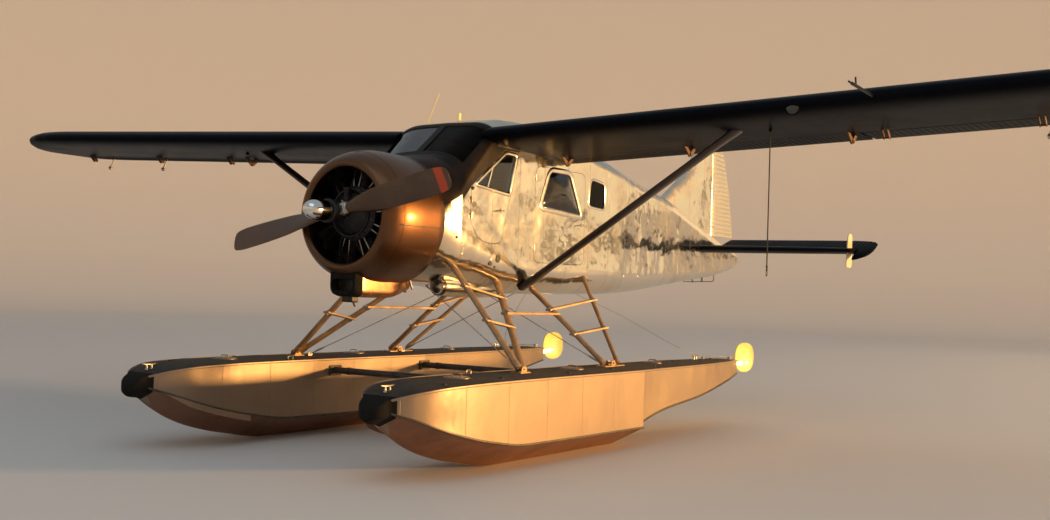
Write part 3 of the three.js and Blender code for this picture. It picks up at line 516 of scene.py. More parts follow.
def sheet_metal(name, bright, dull, roughness, ripple, row, pitch, plane="side", metallic=1.0, coat=0.0,
                head=0.007, grime=0.5, fine=0.02, specular=0.5, streak=0.1, coat_roughness=0.08):
    """Sheet on frames: ripples between rivet rows, seams at the rows, dirt in patches and streaks."""
    material, tree, shader, vector = new_material(name, metallic, roughness, coat, specular, coat_roughness)
    x, y, z = axes_of(tree, vector)
    along, across = {"side": (z, x), "flat": (y, x), "span": (x, y)}[plane]
    dots = placed(tree, "rivets", Along=along, Across=across, Row=row, Pitch=pitch, Head=head)
    dirt = placed(tree, "grime", Vector=vector, Amount=grime, Scale=1.6)
    wave = placed(tree, "ripple", Vector=vector, Broad=ripple, Fine=fine)
    tone = mixed(tree, dirt["Mask"], bright, dull)
    seam = math_node(tree, "MULTIPLY", dots["Seam"], SEAM_MIX)
    tone = mixed(tree, seam, tone, tuple(SEAM_SHADE * v for v in dull))
    feed(tree, tone, shader.inputs["Base Color"])
    rough = math_node(tree, "ADD", roughness, math_node(tree, "MULTIPLY", dirt["Mask"], DIRT_ROUGHNESS))
    rough = math_node(tree, "ADD", rough, math_node(tree, "MULTIPLY", dirt["Streak"], streak), clamp=True)
    feed(tree, rough, shader.inputs["Roughness"])
    relief = math_node(tree, "ADD", math_node(tree, "MULTIPLY", dots["Rivet"], RIVET_RISE), wave["Height"])
    relief = math_node(tree, "SUBTRACT", relief, math_node(tree, "MULTIPLY", dots["Seam"], SEAM_DEPTH))
    bumped(tree, shader, relief, 1.0, SHEET_DEPTH)
    return material


def plain_finish(name, colour, second, metallic, roughness, coat=0.0, size=160.0, relief=0.15, specular=0.5):
    """A casting, rubber, cloth or satin paint: two tones by noise, and a fine tooth."""
    material, tree, shader, vector = new_material(name, metallic, roughness, coat, specular)
    grain = placed(tree, "grain", Vector=vector, Size=size)
    feed(tree, mixed(tree, ramp_of(tree, grain["Tone"], 0.35, 0.7), colour, second), shader.inputs["Base Color"])
    rough = math_node(tree, "ADD", roughness - 0.08, math_node(tree, "MULTIPLY", grain["Tone"], 0.16), clamp=True)
    feed(tree, rough, shader.inputs["Roughness"])
    bumped(tree, shader, grain["Height"], relief, 0.002)
    return material


def clear_glass(name, tint, index):
    """Acrylic panes: thin and slightly smoky, with a faint haze of fine scratches."""
    material, tree, shader, vector = new_material(name, 0.0, 0.02)
    shader.inputs["Transmission Weight"].default_value = 1.0
    shader.inputs["IOR"].default_value = index
    haze = noise_of(tree, vector, 7.0, 5.0, 0.6)
    feed(tree, mixed(tree, haze, tint, tuple(0.9 * v for v in tint)), shader.inputs["Base Color"])
    feed(tree, math_node(tree, "MULTIPLY", ramp_of(tree, haze, 0.4, 0.9), 0.06), shader.inputs["Roughness"])
    return material


def blade_paint(name):
    """Satin paint with a red band near the tip of the port blade only, the blade in the low sun: partly paint, partly
    painted sun glow. The band is where the distance from the thrust line says.
    """
    material, tree, shader, vector = new_material(name, 0.0, 0.42, 0.15)
    _, y, z = axes_of(tree, vector)
    rise = math_node(tree, "SUBTRACT", z, THRUST_Z)
    square = math_node(tree, "ADD", math_node(tree, "MULTIPLY", y, y), math_node(tree, "MULTIPLY", rise, rise))
    radius = math_node(tree, "SQRT", square)
    band = math_node(tree, "MULTIPLY", ramp_of(tree, radius, SUNLIT_BAND_INNER, SUNLIT_BAND_INNER + SUNLIT_BAND_EDGE),
                     ramp_of(tree, radius, SUNLIT_BAND_OUTER, SUNLIT_BAND_OUTER - SUNLIT_BAND_EDGE))
    # the band only where y is above zero, on the port blade in the sun; the shaded starboard blade keeps plain paint:
    # painted sun glow
    band = math_node(tree, "MULTIPLY", band, ramp_of(tree, y, 0.0, 0.01))
    grime = placed(tree, "grime", Vector=vector, Amount=0.8, Scale=4.0)
    paint = mixed(tree, grime["Mask"], (0.10, 0.052, 0.026), (0.15, 0.088, 0.052))
    feed(tree, mixed(tree, band, paint, (0.62, 0.075, 0.02)), shader.inputs["Base Color"])
    rough = math_node(tree, "ADD", 0.38, math_node(tree, "MULTIPLY", grime["Mask"], 0.2))
    feed(tree, rough, shader.inputs["Roughness"])
    return material


# Each row: key, slot, name, the two tones, then the numbers of its function and what differs from the usual.
SHEETS = [
    ("skin", "polished_aluminium", "polished_skin", (0.93, 0.86, 0.70), (0.62, 0.52, 0.38),
     (0.12, 1.2, 0.46, 0.035), {"grime": 0.6, "fine": 0.004, "streak": 0.02}),
    ("float_side", "float_aluminium", "float_sheet", (0.305, 0.235, 0.172), (0.255, 0.196, 0.143),
     (0.40, 0.12, 0.60, 0.045), {"metallic": 0.7, "grime": 0.8}),
    # float_bottom: the same sheet as float_side, made darker and redder for the vee bottom: painted shade and painted
    # warm reflection on the faces that look down
    ("float_bottom", "float_aluminium", "float_bottom_sheet", (0.30, 0.145, 0.085), (0.17, 0.09, 0.06),
     (0.42, 0.12, 0.6, 0.045, "flat"), {"metallic": 0.6, "grime": 1.0}),
    ("bronze", "bronze_paint", "bronze_paint", (0.155, 0.072, 0.030), (0.115, 0.054, 0.023),
     (0.38, 0.02, 3.0, 0.05), {"coat": 0.4, "coat_roughness": 0.17, "head": 0.004, "grime": 0.4, "streak": 0.03}),
    ("navy", "navy_paint", "navy_paint", (0.005, 0.006, 0.009), (0.011, 0.011, 0.012),
     (0.30, 0.03, 0.335, 0.05, "span"), {"metallic": 0.0, "head": 0.005, "grime": 0.3, "specular": 0.012}),
    ("ribbed", "polished_aluminium", "ribbed_skin", (0.93, 0.86, 0.70), (0.78, 0.68, 0.50),
     (0.24, 0.12, 3.0, 0.05), {"grime": 0.3, "fine": 0.0}),
]
PLAIN = [
    ("frame", "black_paint", "windshield_frame_paint", (0.014, 0.010, 0.008), (0.022, 0.016, 0.013), (0.0, 0.36),
     {"relief": 0.05, "specular": 0.12}),
    ("primer", "navy_paint", "hinge_primer", (0.085, 0.032, 0.018), (0.13, 0.055, 0.030), (0.0, 0.55), {}),
    ("strut", "strut_aluminium", "strut_sheet", (0.44, 0.29, 0.155), (0.31, 0.20, 0.11), (0.5, 0.45), {}),
    ("board", "strut_aluminium", "step_board", (0.50, 0.34, 0.18), (0.36, 0.24, 0.13), (0.3, 0.5), {}),
    ("wing_strut", "navy_paint", "wing_strut_paint", (0.022, 0.014, 0.010), (0.040, 0.026, 0.018), (0.0, 0.34),
     {"coat": 0.3, "relief": 0.05}),
    ("black", "black_paint", "black_satin", (0.012, 0.011, 0.010), (0.024, 0.021, 0.019), (0.0, 0.45), {}),
    ("spreader", "black_paint", "spreader_sheet", (0.10, 0.085, 0.07), (0.06, 0.052, 0.045), (0.6, 0.42), {}),
    ("deck", "black_paint", "non_skid_deck", (0.030, 0.026, 0.022), (0.055, 0.048, 0.04), (0.0, 0.85),
     {"size": 500, "relief": 0.8}),
    ("rubber", "black_rubber", "black_rubber", (0.008, 0.007, 0.006), (0.014, 0.013, 0.012), (0.0, 0.8),
     {"size": 300, "specular": 0.15}),
    ("steel", "polished_steel", "polished_fittings", (0.58, 0.54, 0.48), (0.40, 0.36, 0.31), (1.0, 0.3), {}),
    ("chrome", "polished_steel", "dome_chrome", (0.95, 0.93, 0.9), (0.9, 0.88, 0.84), (1.0, 0.1), {"relief": 0.0}),
    ("casting", "engine_metal", "engine_casting", (0.045, 0.042, 0.040), (0.026, 0.024, 0.022), (0.6, 0.5),
     {"relief": 0.5}),
    ("fins", "engine_metal", "cylinder_fins", (0.018, 0.016, 0.014), (0.032, 0.028, 0.024), (0.5, 0.5),
     {"relief": 0.3}),
    ("pushrod", "engine_metal", "pushrod_covers", (0.40, 0.36, 0.31), (0.26, 0.23, 0.20), (1.0, 0.26), {}),
    ("pale", "pale_paint", "pale_paint", (0.95, 0.90, 0.30), (0.90, 0.82, 0.27), (0.0, 0.4),
     {"coat": 0.3, "size": 80}),
    ("cream", "pale_paint", "cream_paint", (0.80, 0.70, 0.50), (0.66, 0.56, 0.38), (0.0, 0.4),
     {"coat": 0.3, "size": 80}),
    ("cloth", "seat_cloth", "seat_cloth", (0.16, 0.14, 0.12), (0.1, 0.09, 0.08), (0.0, 0.9),
     {"size": 700, "relief": 0.9}),
    ("liner", "seat_cloth", "cabin_liner", (0.2, 0.18, 0.16), (0.14, 0.13, 0.12), (0.0, 0.85),
     {"size": 400, "relief": 0.5}),
    ("copper", "bronze_paint", "scoop_metal", (0.62, 0.34, 0.18), (0.42, 0.21, 0.11), (1.0, 0.3), {}),
    ("rope", "dark_rope", "dark_rope", (0.05, 0.042, 0.036), (0.09, 0.075, 0.06), (0.0, 0.9),
     {"size": 900, "relief": 0.8}),
    ("lens", "window_glass", "lamp_lens", (0.060, 0.063, 0.066), (0.04, 0.042, 0.044), (0.3, 0.14),
     {"coat": 0.4, "relief": 0.0}),
    ("dial", "black_paint", "dial_face", (0.01, 0.01, 0.01), (0.02, 0.02, 0.02), (0.0, 0.2), {"relief": 0.0}),
]
MATERIALS, SLOTS = {"blade": blade_paint("blade_paint")}, {"blade": "black_paint"}
for make, rows in ((sheet_metal, SHEETS), (plain_finish, PLAIN)):
    for key, slot, name, first, second, numbers, others in rows:
        MATERIALS[key], SLOTS[key] = make(name, first, second, *numbers, **others), slot
# The port windshield pane takes a darker, less reflective glass than the starboard pane, though both are one glass:
# painted shade
for key, name, tint, index in (("smoked", "smoked_window_glass", (0.30, 0.25, 0.17), 1.15),
                               ("acrylic", "acrylic_window_glass", (0.78, 0.78, 0.76), 1.45),
                               ("screen", "windshield_glass", (0.86, 0.88, 0.88), 1.5),
                               ("shaded", "shaded_windshield_glass", (0.40, 0.36, 0.32), 1.12)):
    MATERIALS[key], SLOTS[key] = clear_glass(name, tint, index), "window_glass"
print("materials:", len(MATERIALS))

# %% [markdown]
# ## The fuselage skin
# A frame of the fuselage is a flat-sided ring: a flat belly, a round lower corner, a straight side and an
# arched top. Seven sizes describe one frame, and a table of frames describes the whole body. Between frames
# the sizes are eased, except over the windshield, whose lines are straight.

# %% Frames of the fuselage, in metres
FRAMES = np.array([
    # station, half width, bottom, corner radius, shoulder, half width of the flat top, top
    [1.210, 0.592, -0.602, 0.576, -0.020, 0.008, 0.580],
    [1.450, 0.620, -0.610, 0.450, 0.230, 0.120, 0.606],
    [1.505, 0.620, -0.612, 0.420, 0.330, 0.170, 0.622],
    [1.965, 0.622, -0.645, 0.320, 0.800, 0.300, 0.985],
    [2.260, 0.625, -0.674, 0.290, 0.880, 0.380, 1.045],
    [2.600, 0.628, -0.698, 0.280, 0.885, 0.400, 1.058],
    [3.450, 0.632, -0.700, 0.280, 0.800, 0.380, 1.000],
    [4.170, 0.622, -0.690, 0.270, 0.690, 0.300, 0.905],
    [4.400, 0.608, -0.688, 0.265, 0.655, 0.280, 0.868],
    [5.300, 0.500, -0.648, 0.220, 0.510, 0.170, 0.728],
    [6.290, 0.385, -0.560, 0.170, 0.385, 0.105, 0.598],
    [7.400, 0.255, -0.462, 0.115, 0.160, 0.070, 0.342],
    [8.240, 0.155, -0.385, 0.075, -0.010, 0.045, 0.146],
    [8.640, 0.110, -0.322, 0.055, -0.050, 0.040, 0.060],
    [9.080, 0.062, -0.238, 0.045, -0.110, 0.025, -0.045],
    [9.240, 0.030, -0.185, 0.025, -0.150, 0.012, -0.115],
])
LAST_STRAIGHT = 2.260  # frames before this one are joined by straight lines


def frames_at(stations):
    """Rows of the table at any stations, straight over the windshield and eased behind it."""
    stations = np.asarray(stations, float)
    straight = np.stack([np.interp(stations, FRAMES[:, 0], column) for column in FRAMES.T], -1)
    soft = np.concatenate([stations[:, None], eased(FRAMES, stations)], 1)
    return np.where(stations[:, None] < LAST_STRAIGHT, straight, soft)


def hull_rings(stations, inset=0.0, arc=12):
    """Rings of the hull: bottom, quarter circle, quarter ellipse and ridge on one side, then the other."""
    rows = frames_at(stations)
    station, width, bottom, corner, shoulder, flat, top = (rows[:, i, None] for i in range(7))
    radius, outer = np.maximum(corner - inset, 0.015), width - inset
    flat = np.maximum(flat - 0.4 * inset, 0.004)
    turn = np.radians(np.linspace(0, 90, arc + 1))[None]
    lower_y, lower_z = outer - radius + radius * np.sin(turn), bottom + inset + radius - radius * np.cos(turn)
    upper_y = flat + (outer - flat) * np.cos(turn)
    upper_z = shoulder + (top - inset - shoulder) * np.sin(turn)
    y = np.concatenate([0 * width, lower_y, upper_y, 0 * width], 1)
    z = np.concatenate([bottom + inset, lower_z, upper_z, top - inset + np.where(flat > 0.04, 0.006, 0.002)], 1)
    y, z = np.concatenate([y, -y[:, -2:0:-1]], 1), np.concatenate([z, z[:, -2:0:-1]], 1)
    return spot(station, y, z)


def hull(start, end, inset=0.0, step=0.07, overrun=0.0, grow=0.0):
    """The hull between two stations as a closed solid, inset for an inner skin or grown for a cutting tool."""
    inner_frames = FRAMES[(FRAMES[:, 0] > start) & (FRAMES[:, 0] < end), 0]
    stations = np.unique(np.concatenate([np.arange(start, end, step), inner_frames, [end]]).round(5))
    rings = hull_rings(stations, inset - grow)
    rings[0, :, 0] += overrun
    rings[-1, :, 0] -= overrun
    return loft(rings)


def side_at(station):
    """Half width of the flat side at a station."""
    return np.interp(station, FRAMES[:, 0], FRAMES[:, 1])


print("hull points:", len(hull(1.21, 9.24)[0]))

# %% [markdown]
# The cabin is a shell as thick as its walls, parted where the real panels part: floor, sides, roof and doors.
# The outlines of doors and windows are a few corners each, rounded, and the same outline cuts the opening,
# makes the pane and carries the rim.

# %% Cabin outlines: station and height
WALL = 0.045
GAP = 0.006  # round a door
SEAT = 0.0003  # left free where one piece is seated on another
OVERRUN = 0.06  # of a cutting tool past what it cuts
CABIN = (1.450, 4.210)
FLOOR = -0.420
TOP_LINE = 0.740
WALL_REACH = (0.4, 0.72)  # from inside to outside of a cutter through a side wall
PILOT_DOOR = rounded([(1.595, 0.32), (1.59, -0.02), (1.73, -0.175), (1.9, -0.212), (2.1, -0.205),
                      (2.385, 0.718), (2.14, 0.718)], 0.06)
PILOT_WINDOW = rounded([(1.665, 0.345), (2.232, 0.292), (2.335, 0.682), (2.15, 0.682)], 0.035)
CABIN_DOOR = rounded(corners((2.70, 3.69), (-0.37, 0.617)), 0.09)
CABIN_WINDOW = rounded([(2.803, 0.203), (3.629, 0.148), (3.368, 0.586), (2.978, 0.592)], 0.078, 8)
REAR_WINDOW = rounded([(3.775, 0.281), (4.14, 0.262), (4.135, 0.54), (3.822, 0.575)], 0.07)
ROOF_EDGE = [(1.449, 0.232), (1.985, TOP_LINE), (3.5, TOP_LINE), (4.3, 0.628)]
PANE = np.array([(1.56, 0.04), (1.545, 0.54), (1.925, 0.56), (1.925, 0.04)])


def grown(outline, distance):
    """Each point moved away from the outline's middle."""
    middle = outline.mean(0)
    reach = np.linalg.norm(outline - middle, axis=1, keepdims=True)
    return middle + (outline - middle) * (1 + distance / reach)


def through(outline):
    """A cutter through the port wall."""
    return slab(outline, *WALL_REACH)


def pane_tool(outline, side):
    """A cutter from above through one windshield opening, port being side 1."""
    return slab(outline * (1, side), 0.2, 1.2, "height")

# %% Cabin shell parts
outer_cabin = hull(*CABIN)
shell = less(hull(*CABIN, inset=WALL, overrun=OVERRUN))
openings = less(through(grown(PILOT_DOOR, GAP)), through(grown(CABIN_DOOR, GAP)), through(REAR_WINDOW))
wall_tool = slab([(1.449, FLOOR), (4.3, FLOOR), *ROOF_EDGE[::-1]], 0.2, 0.7)
side_wall = combined(outer_cabin, shell + within(wall_tool) + openings)
post_tool = slab([(1.440, 0.150), (1.600, 0.325), (2.140, 0.722), (2.400, 0.722), (2.400, 0.80), (1.440, 0.80)],
                 0.1, 0.8)
pair("side_wall", combined(side_wall, less(post_tool)), "skin", replaces=True)
pair("windshield_post", combined(side_wall, within(post_tool)), "frame")
for name, door, window in (("pilot_door", PILOT_DOOR, PILOT_WINDOW), ("cabin_door", CABIN_DOOR, CABIN_WINDOW)):
    door_panel = combined(outer_cabin, shell + within(through(door)) + less(through(window)))
    pair(name, door_panel, "skin", body=name, replaces=True)
roof_tool = slab([*ROOF_EDGE, (4.3, 1.2), (1.449, 1.2)], -0.7, 0.7)
roof = combined(outer_cabin, shell + within(roof_tool) + less(pane_tool(PANE, 1), pane_tool(PANE, -1)))
roof_front = box((1.4, 2.010), (-0.8, 0.8), (0.0, 1.3))
piece("windshield_frame", combined(roof, within(roof_front)), "frame", replaces=["cabin_roof"])
piece("cabin_roof_skin", combined(roof, less(roof_front)), "skin")
floor_solid = combined(outer_cabin, within(box((1.4, 4.3), (-0.7, 0.7), (-0.8, FLOOR))))
piece("belly_skin", floor_solid, "skin", replaces=["cabin_floor"])
print("cabin parts cut")

# %% [markdown]
# ## Glass and rims
# Each window is a thin pane that follows the hull, set in a rim. The rim is a flat half-round strip carried
# round the window's own outline, standing a few millimetres proud of the sheet.

# %% Panes and window rims
PANE_DEPTH, PANE_INNER = 0.010, 0.018  # both faces of a pane, inwards from the outer skin
PANE_GAP = 0.0008
pane_hull = hull(*CABIN, inset=PANE_DEPTH)
pane_shell = less(hull(*CABIN, inset=PANE_INNER, overrun=OVERRUN))


def blister(outline, swell=0.045, levels=10):
    """A pane blown outwards: the outline shrinks to its middle while the pane rises, as cos and sin of one angle."""
    turn = np.linspace(0, 0.495 * np.pi, levels)
    line = outline.mean(0) + (outline - outline.mean(0)) * np.cos(turn)[:, None, None]
    side = side_at(line[..., 0]) - PANE_DEPTH + swell * np.sin(turn)[:, None] ** 2
    outside, inside = (spot(line[..., 0], side - depth, line[..., 1]) for depth in (0, PANE_INNER - PANE_DEPTH))
    return loft(np.concatenate([outside[::-1], inside]))


def rim_of(outline, width, proud, out=0.0):
    """A closed strip round an outline on the flat side of the hull, with a low rounded section."""
    line = grown(outline, out)
    path = spot(line[:, 0], side_at(line[:, 0]), line[:, 1])
    tangent = np.roll(path, -1, 0) - np.roll(path, 1, 0)
    tangent /= np.linalg.norm(tangent, axis=1, keepdims=True)
    aside = np.cross(tangent, (0, 1, 0))
    turn = np.linspace(0, np.pi, 7)
    section = np.stack([np.cos(turn) * width / 2, np.sin(turn) * proud], -1)
    section = np.concatenate([section, [(-width / 2, -0.004), (width / 2, -0.004)]])
    rings = path[:, None] + section[None, :, :1] * aside[:, None] + section[None, :, 1:] * np.array([0, 1, 0])
    return loft(rings, closed=True)


pilot_glass, rear_glass = (combined(pane_hull, pane_shell + within(through(grown(outline, -PANE_GAP))))
                           for outline in (PILOT_WINDOW, REAR_WINDOW))
pair("pilot_door_glass", pilot_glass, "acrylic", body="pilot_door", replaces=True)
pair("cabin_door_glass", blister(grown(CABIN_WINDOW, -PANE_GAP)), "acrylic", body="cabin_door", replaces=True)
pair("rear_window", rear_glass, "smoked", replaces=True)
# port pane in the darker glass, starboard pane in the clear one: painted shade on the port pane
for side, sign, glass in (("port", 1, "shaded"), ("starboard", -1, "screen")):
    pane = combined(pane_hull, pane_shell + within(pane_tool(grown(PANE, -PANE_GAP), sign)))
    piece(f"{side}_windshield_pane", pane, glass, replaces=[f"{side}_windshield"])
pair("pilot_window_rim", rim_of(PILOT_WINDOW, 0.040, 0.008, 0.014), "skin", body="pilot_door")
pair("cabin_window_rim", rim_of(CABIN_WINDOW, 0.058, 0.010, 0.022), "skin", body="cabin_door")
pair("rear_window_rim", rim_of(REAR_WINDOW, 0.03, 0.006, 0.012), "skin")
divider = slab([(1.838, 0.318), (1.858, 0.316), (1.944, 0.550), (1.924, 0.538)], 0.606, 0.628)
pair("pilot_window_divider", divider, "skin", body="pilot_door")

# %% [markdown]
# ## The rear fuselage and the nose
# These are the same frames again, as closed skins. The nose skirt is the short ring behind the cowl.

# %% Rear fuselage and nose skirt
piece("tail_cone_skin", hull(CABIN[1] + SEAT, 9.240), "skin", replaces=["rear_fuselage"])
skirt = combined(hull(1.210, CABIN[0] - SEAT, step=0.03), less(hull(1.210, 1.420, inset=0.030, overrun=0.03)))
skirt_top = slab([(1.1, 0.045), (1.6, 0.300), (1.6, 0.9), (1.1, 0.9)], -0.8, 0.8)
piece("nose_skirt_skin", combined(skirt, less(skirt_top)), "skin", replaces=["nose_skirt"])
piece("nose_skirt_top", combined(skirt, within(skirt_top)), "frame")

# %% [markdown]
# ## Wings
# A wing section is an old formula: a camber line made of two parabolas, and a thickness that grows with the
# square root of the distance from the leading edge. The section is carried along the span. The skins of flaps
# and ailerons are stiffened by beads, so their section swells by a few millimetres every sixty.

# %% Airfoil and wing sizes
WING = {"le": 1.836, "chord": 1.588, "height": 0.812, "drop": 0.130, "dihedral": 0.042, "thick": 0.135,
        "camber": 0.035}
WING_TIP = np.array([
    # y, leading edge set back, trailing edge set forward, thickness share
    [0.540, 0, 0, 1], [6.250, 0, 0, 1], [6.550, 0.045, 0, 1], [6.800, 0.140, 0.010, 0.97],
    [7.000, 0.290, 0.030, 0.92], [7.150, 0.450, 0.060, 0.85], [7.260, 0.620, 0.120, 0.68],
    [7.315, 0.820, 0.250, 0.40],
])
FLAP = {"wing_edge": 2.990, "edge": 2.998, "axis": 3.050, "drop": 0.070, "inner": 0.665, "outer": 3.885}
AILERON = {"axis": 3.046, "lift": 0.035, "nose": 0.055, "inner": 3.912, "outer": 6.960}
BEAD = {"pitch": 0.060, "rise": 0.0045, "step": 0.0075}
NOSE_GAP = 0.008  # round the nose of every hinged surface


def surface(share, side, thick, camber):
    """Height of a section's upper (side 1) or lower (side -1) surface, as a share of the chord."""
    half = 5 * thick * (0.2969 * np.sqrt(share) - 0.126 * share - 0.3516 * share**2 + 0.2843 * share**3
                        - 0.1036 * share**4)
    line = np.where(share < 0.4, (camber / 0.16) * (0.8 * share - share**2),
                    (camber / 0.36) * (0.2 + 0.8 * share - share**2))
    return line + side * half


def airfoil(thick, camber, steps=22):
    """Points round a section from the trailing edge over the top: share of chord, height share, side."""
    shares = 0.5 * (1 - np.cos(np.pi * np.arange(steps + 1) / steps))
    share = np.concatenate([shares[:0:-1], shares[:-1]])
    side = np.repeat([1.0, -1.0], steps)
    return share, surface(share, side, thick, camber), side


def step_up(value, low, high):
    t = np.clip((value - low) / (high - low), 0, 1)
    return t * t * (3 - 2 * t)


def tip_rows(end, reach, count, start=1.0):
    """Places that come closer together towards a rounded tip."""
    return end - reach * np.linspace(start, 0, count) ** 2


def beads(across, chordwise, front, back):
    """Height of the pressed beads: a row of half waves across the span, fading at the front and back ends."""
    wave = np.clip(np.cos(2 * np.pi * across / BEAD["pitch"]), 0, 1) ** 0.8
    return BEAD["rise"] * wave * step_up(chordwise, front, front + 0.05) * (1 - step_up(chordwise, back - 0.04, back))


def chord_height(station, y):
    return WING["height"] + WING["dihedral"] * y - WING["drop"] * (station - WING["le"]) / WING["chord"]


def wing_under(station, y):
    share = (station - WING["le"]) / WING["chord"]
    return chord_height(station, y) + WING["chord"] * surface(share, -1, WING["thick"], WING["camber"])


def wing_skin(rows, beaded=False):
    rows = np.asarray(rows, float)[:, None]
    back, forward, share = (np.interp(rows, WING_TIP[:, 0], WING_TIP[:, k]) for k in (1, 2, 3))
    along, up, side = airfoil(WING["thick"], WING["camber"])
    station = WING["le"] + back + along[None] * (WING["chord"] - back - forward)
    height = chord_height(station, rows) + up[None] * WING["chord"] * share
    if beaded:
        height = height + side[None] * beads(rows, station, 3.06, 3.40)
    return loft(spot(station, rows, height))

# %% Wing panels, flaps and ailerons
def roller(start, end, radius):
    """A rod across the aircraft whose ends are fore-and-aft planes."""
    ring = circle(32, radius)
    return loft([np.stack([p[0] + ring[:, 0], 0 * ring[:, 0] + p[1], p[2] + ring[:, 1]], -1) for p in (start, end)])


def aileron_axis(y):
    return spot(AILERON["axis"], y, chord_height(AILERON["axis"], y) + AILERON["lift"])


def hinge_slots(axis, places, radius):
    """Slots in a surface's nose, one for each hinge arm."""
    return less(*[rod(axis(y - SLOT_HALF), axis(y + SLOT_HALF), radius, 24) for y in places])


def reach_of(surface_sizes, more=0.0):
    """From inner to outer end of a flap or an aileron, a little more where asked for."""
    return surface_sizes["inner"] - more, surface_sizes["outer"] + more


AILERON_HINGES = (4.130, 5.440, 6.800)
FLAP_HINGES = (0.790, 2.190, 3.810)
ARM_HALF, SLOT_HALF = 0.009, 0.0093
wing_rows = np.unique(np.concatenate([np.arange(0.54, 6.25, 0.24), np.linspace(6.25, 7.24, 22),
                                      tip_rows(7.315, 0.075, 12, 0.9)]).round(5))
aileron_room = reach_of(AILERON, 0.013)
fuselage_tool = hull(1.3, 6.0, grow=SEAT)
wing_tools = less(fuselage_tool, box((FLAP["wing_edge"], 4.0), reach_of(FLAP, 0.014), (0.4, 1.4)),
                  roller(*(aileron_axis(y) for y in aileron_room), AILERON["nose"] + NOSE_GAP),
                  box((AILERON["axis"], 4.0), aileron_room, (0.5, 1.5)))
pair("wing", combined(wing_skin(wing_rows), wing_tools), "navy", replaces=True)

flap_rows, aileron_rows = (np.arange(*reach_of(sizes, 0.02), BEAD["step"]) for sizes in (FLAP, AILERON))
flap_tool = box((FLAP["edge"], 4.0), reach_of(FLAP), (0.4, 1.4))
pair("flap", combined(wing_skin(flap_rows, True), within(flap_tool)), "navy", body="flap", replaces=True)

nose_keep = roller(*(aileron_axis(y) for y in reach_of(AILERON)), AILERON["nose"])
keep = combined(nose_keep, [("UNION", box((AILERON["axis"], 4.0), reach_of(AILERON), (0.5, 1.5)))])
aileron = combined(wing_skin(aileron_rows, True), within(keep))
aileron = combined(aileron, hinge_slots(aileron_axis, AILERON_HINGES, AILERON["nose"] + NOSE_GAP))
pair("aileron", aileron, "navy", body="aileron", replaces=True)
print("wings, flaps and ailerons made")

# %% [markdown]
# The flaps hang on plates below the wing and the ailerons on arms in their noses. Plates that are square to
# the hinge line would jam if they were square to the aircraft instead, because the wings rise outwards, so
# they are canted by the same small angle.

# %% Hinge plates, arms, balance weights and tie-down lugs
def canted(shape, y, height):
    """A shape made square to Y, turned about a fore-and-aft line until it is square to the hinge line."""
    return rotated(shape, np.arctan(WING["dihedral"]), 0, (0, y, THRUST_Z + height))


fixed, plates, on_flap, on_aileron = [], [], [], []
for y in FLAP_HINGES:
    axis = wing_under(FLAP["axis"], y) - FLAP["drop"]
    root, skin = wing_under(2.93, y), wing_under(3.14, y)
    plate = rounded([(2.900, root + 0.014), (2.984, root + 0.014), (2.992, root - 0.010), (3.066, axis + 0.018),
                     (3.068, axis - 0.018), (3.036, axis - 0.024)], 0.012, 4)
    plates += [canted(slab(plate, y - 0.007, y + 0.007), y, axis)]
    ear = rounded([(3.034, axis - 0.016), (3.070, axis - 0.016), (3.170, skin + 0.012), (3.115, skin + 0.012),
                   (3.034, axis + 0.016)], 0.012, 4)
    on_flap += [canted(slab(ear, y + low, y + low + 0.006), y, axis) for low in (0.0073, -0.0133)]
    on_flap += [canted(disc(FLAP["axis"], axis, 0.011, y - 0.02, y + 0.02), y, axis)]
for y in AILERON_HINGES:
    height = chord_height(AILERON["axis"], y) + AILERON["lift"]
    arm = rounded(corners((2.946, 3.05), (height - 0.016, height + 0.016)), 0.01, 4)
    fixed += [canted(slab(arm, y - ARM_HALF, y + ARM_HALF), y, height),
              rod(aileron_axis(y - ARM_HALF), aileron_axis(y + ARM_HALF), 0.017, 20)]
    root = wing_under(2.96, y)
    hanger = rounded([(2.925, root + 0.012), (2.975, root + 0.012), (3.040, root - 0.050), (3.040, root - 0.082),
                      (3.010, root - 0.082)], 0.010, 4)
    plates += [canted(slab(hanger, y + low, y + low + 0.006), y, height) for low in (-0.028, 0.022)]
    plates += [canted(disc(3.025, root - 0.066, 0.009, y - 0.034, y + 0.034, 10), y, height)]
DROP_SHAPE = smooth([(0, 0.0), (0.008, 0.016), (0.022, 0.025), (0.036, 0.024), (0.052, 0.013), (0.058, 0.0)], 4)
for y in (5.490, 6.560):
    skin = wing_under(3.15, y)
    stem = smooth([(3.15, skin + 0.02), (3.125, skin - 0.05), (3.095, skin - 0.11), (3.08, skin - 0.15)], 5)
    on_aileron += [tube(spot(stem[:, 0], y, stem[:, 1]), 0.008), turned(DROP_SHAPE + (3.052, 0), skin - 0.150, y, 24)]
lug_y, lug_station = 3.270, 2.440
lug_z = wing_under(lug_station, lug_y) - 0.026
fixed += [box((lug_station - 0.016, lug_station + 0.016), (lug_y - 0.008, lug_y + 0.008), (lug_z, lug_z + 0.04))]
pair("wing_hinge_arms", merged(*fixed), "navy")
pair("wing_hinge_plates", merged(*plates), "primer")
pair("flap_hinge_ears", merged(*on_flap), "primer", body="flap")
pair("aileron_weights", merged(*on_aileron), "steel", body="aileron")

# %% [markdown]
# The air-speed probe stands ahead of the port wing on a long tube, with a small static head above it, and a
# landing lamp lies behind a round lens in the same leading edge.

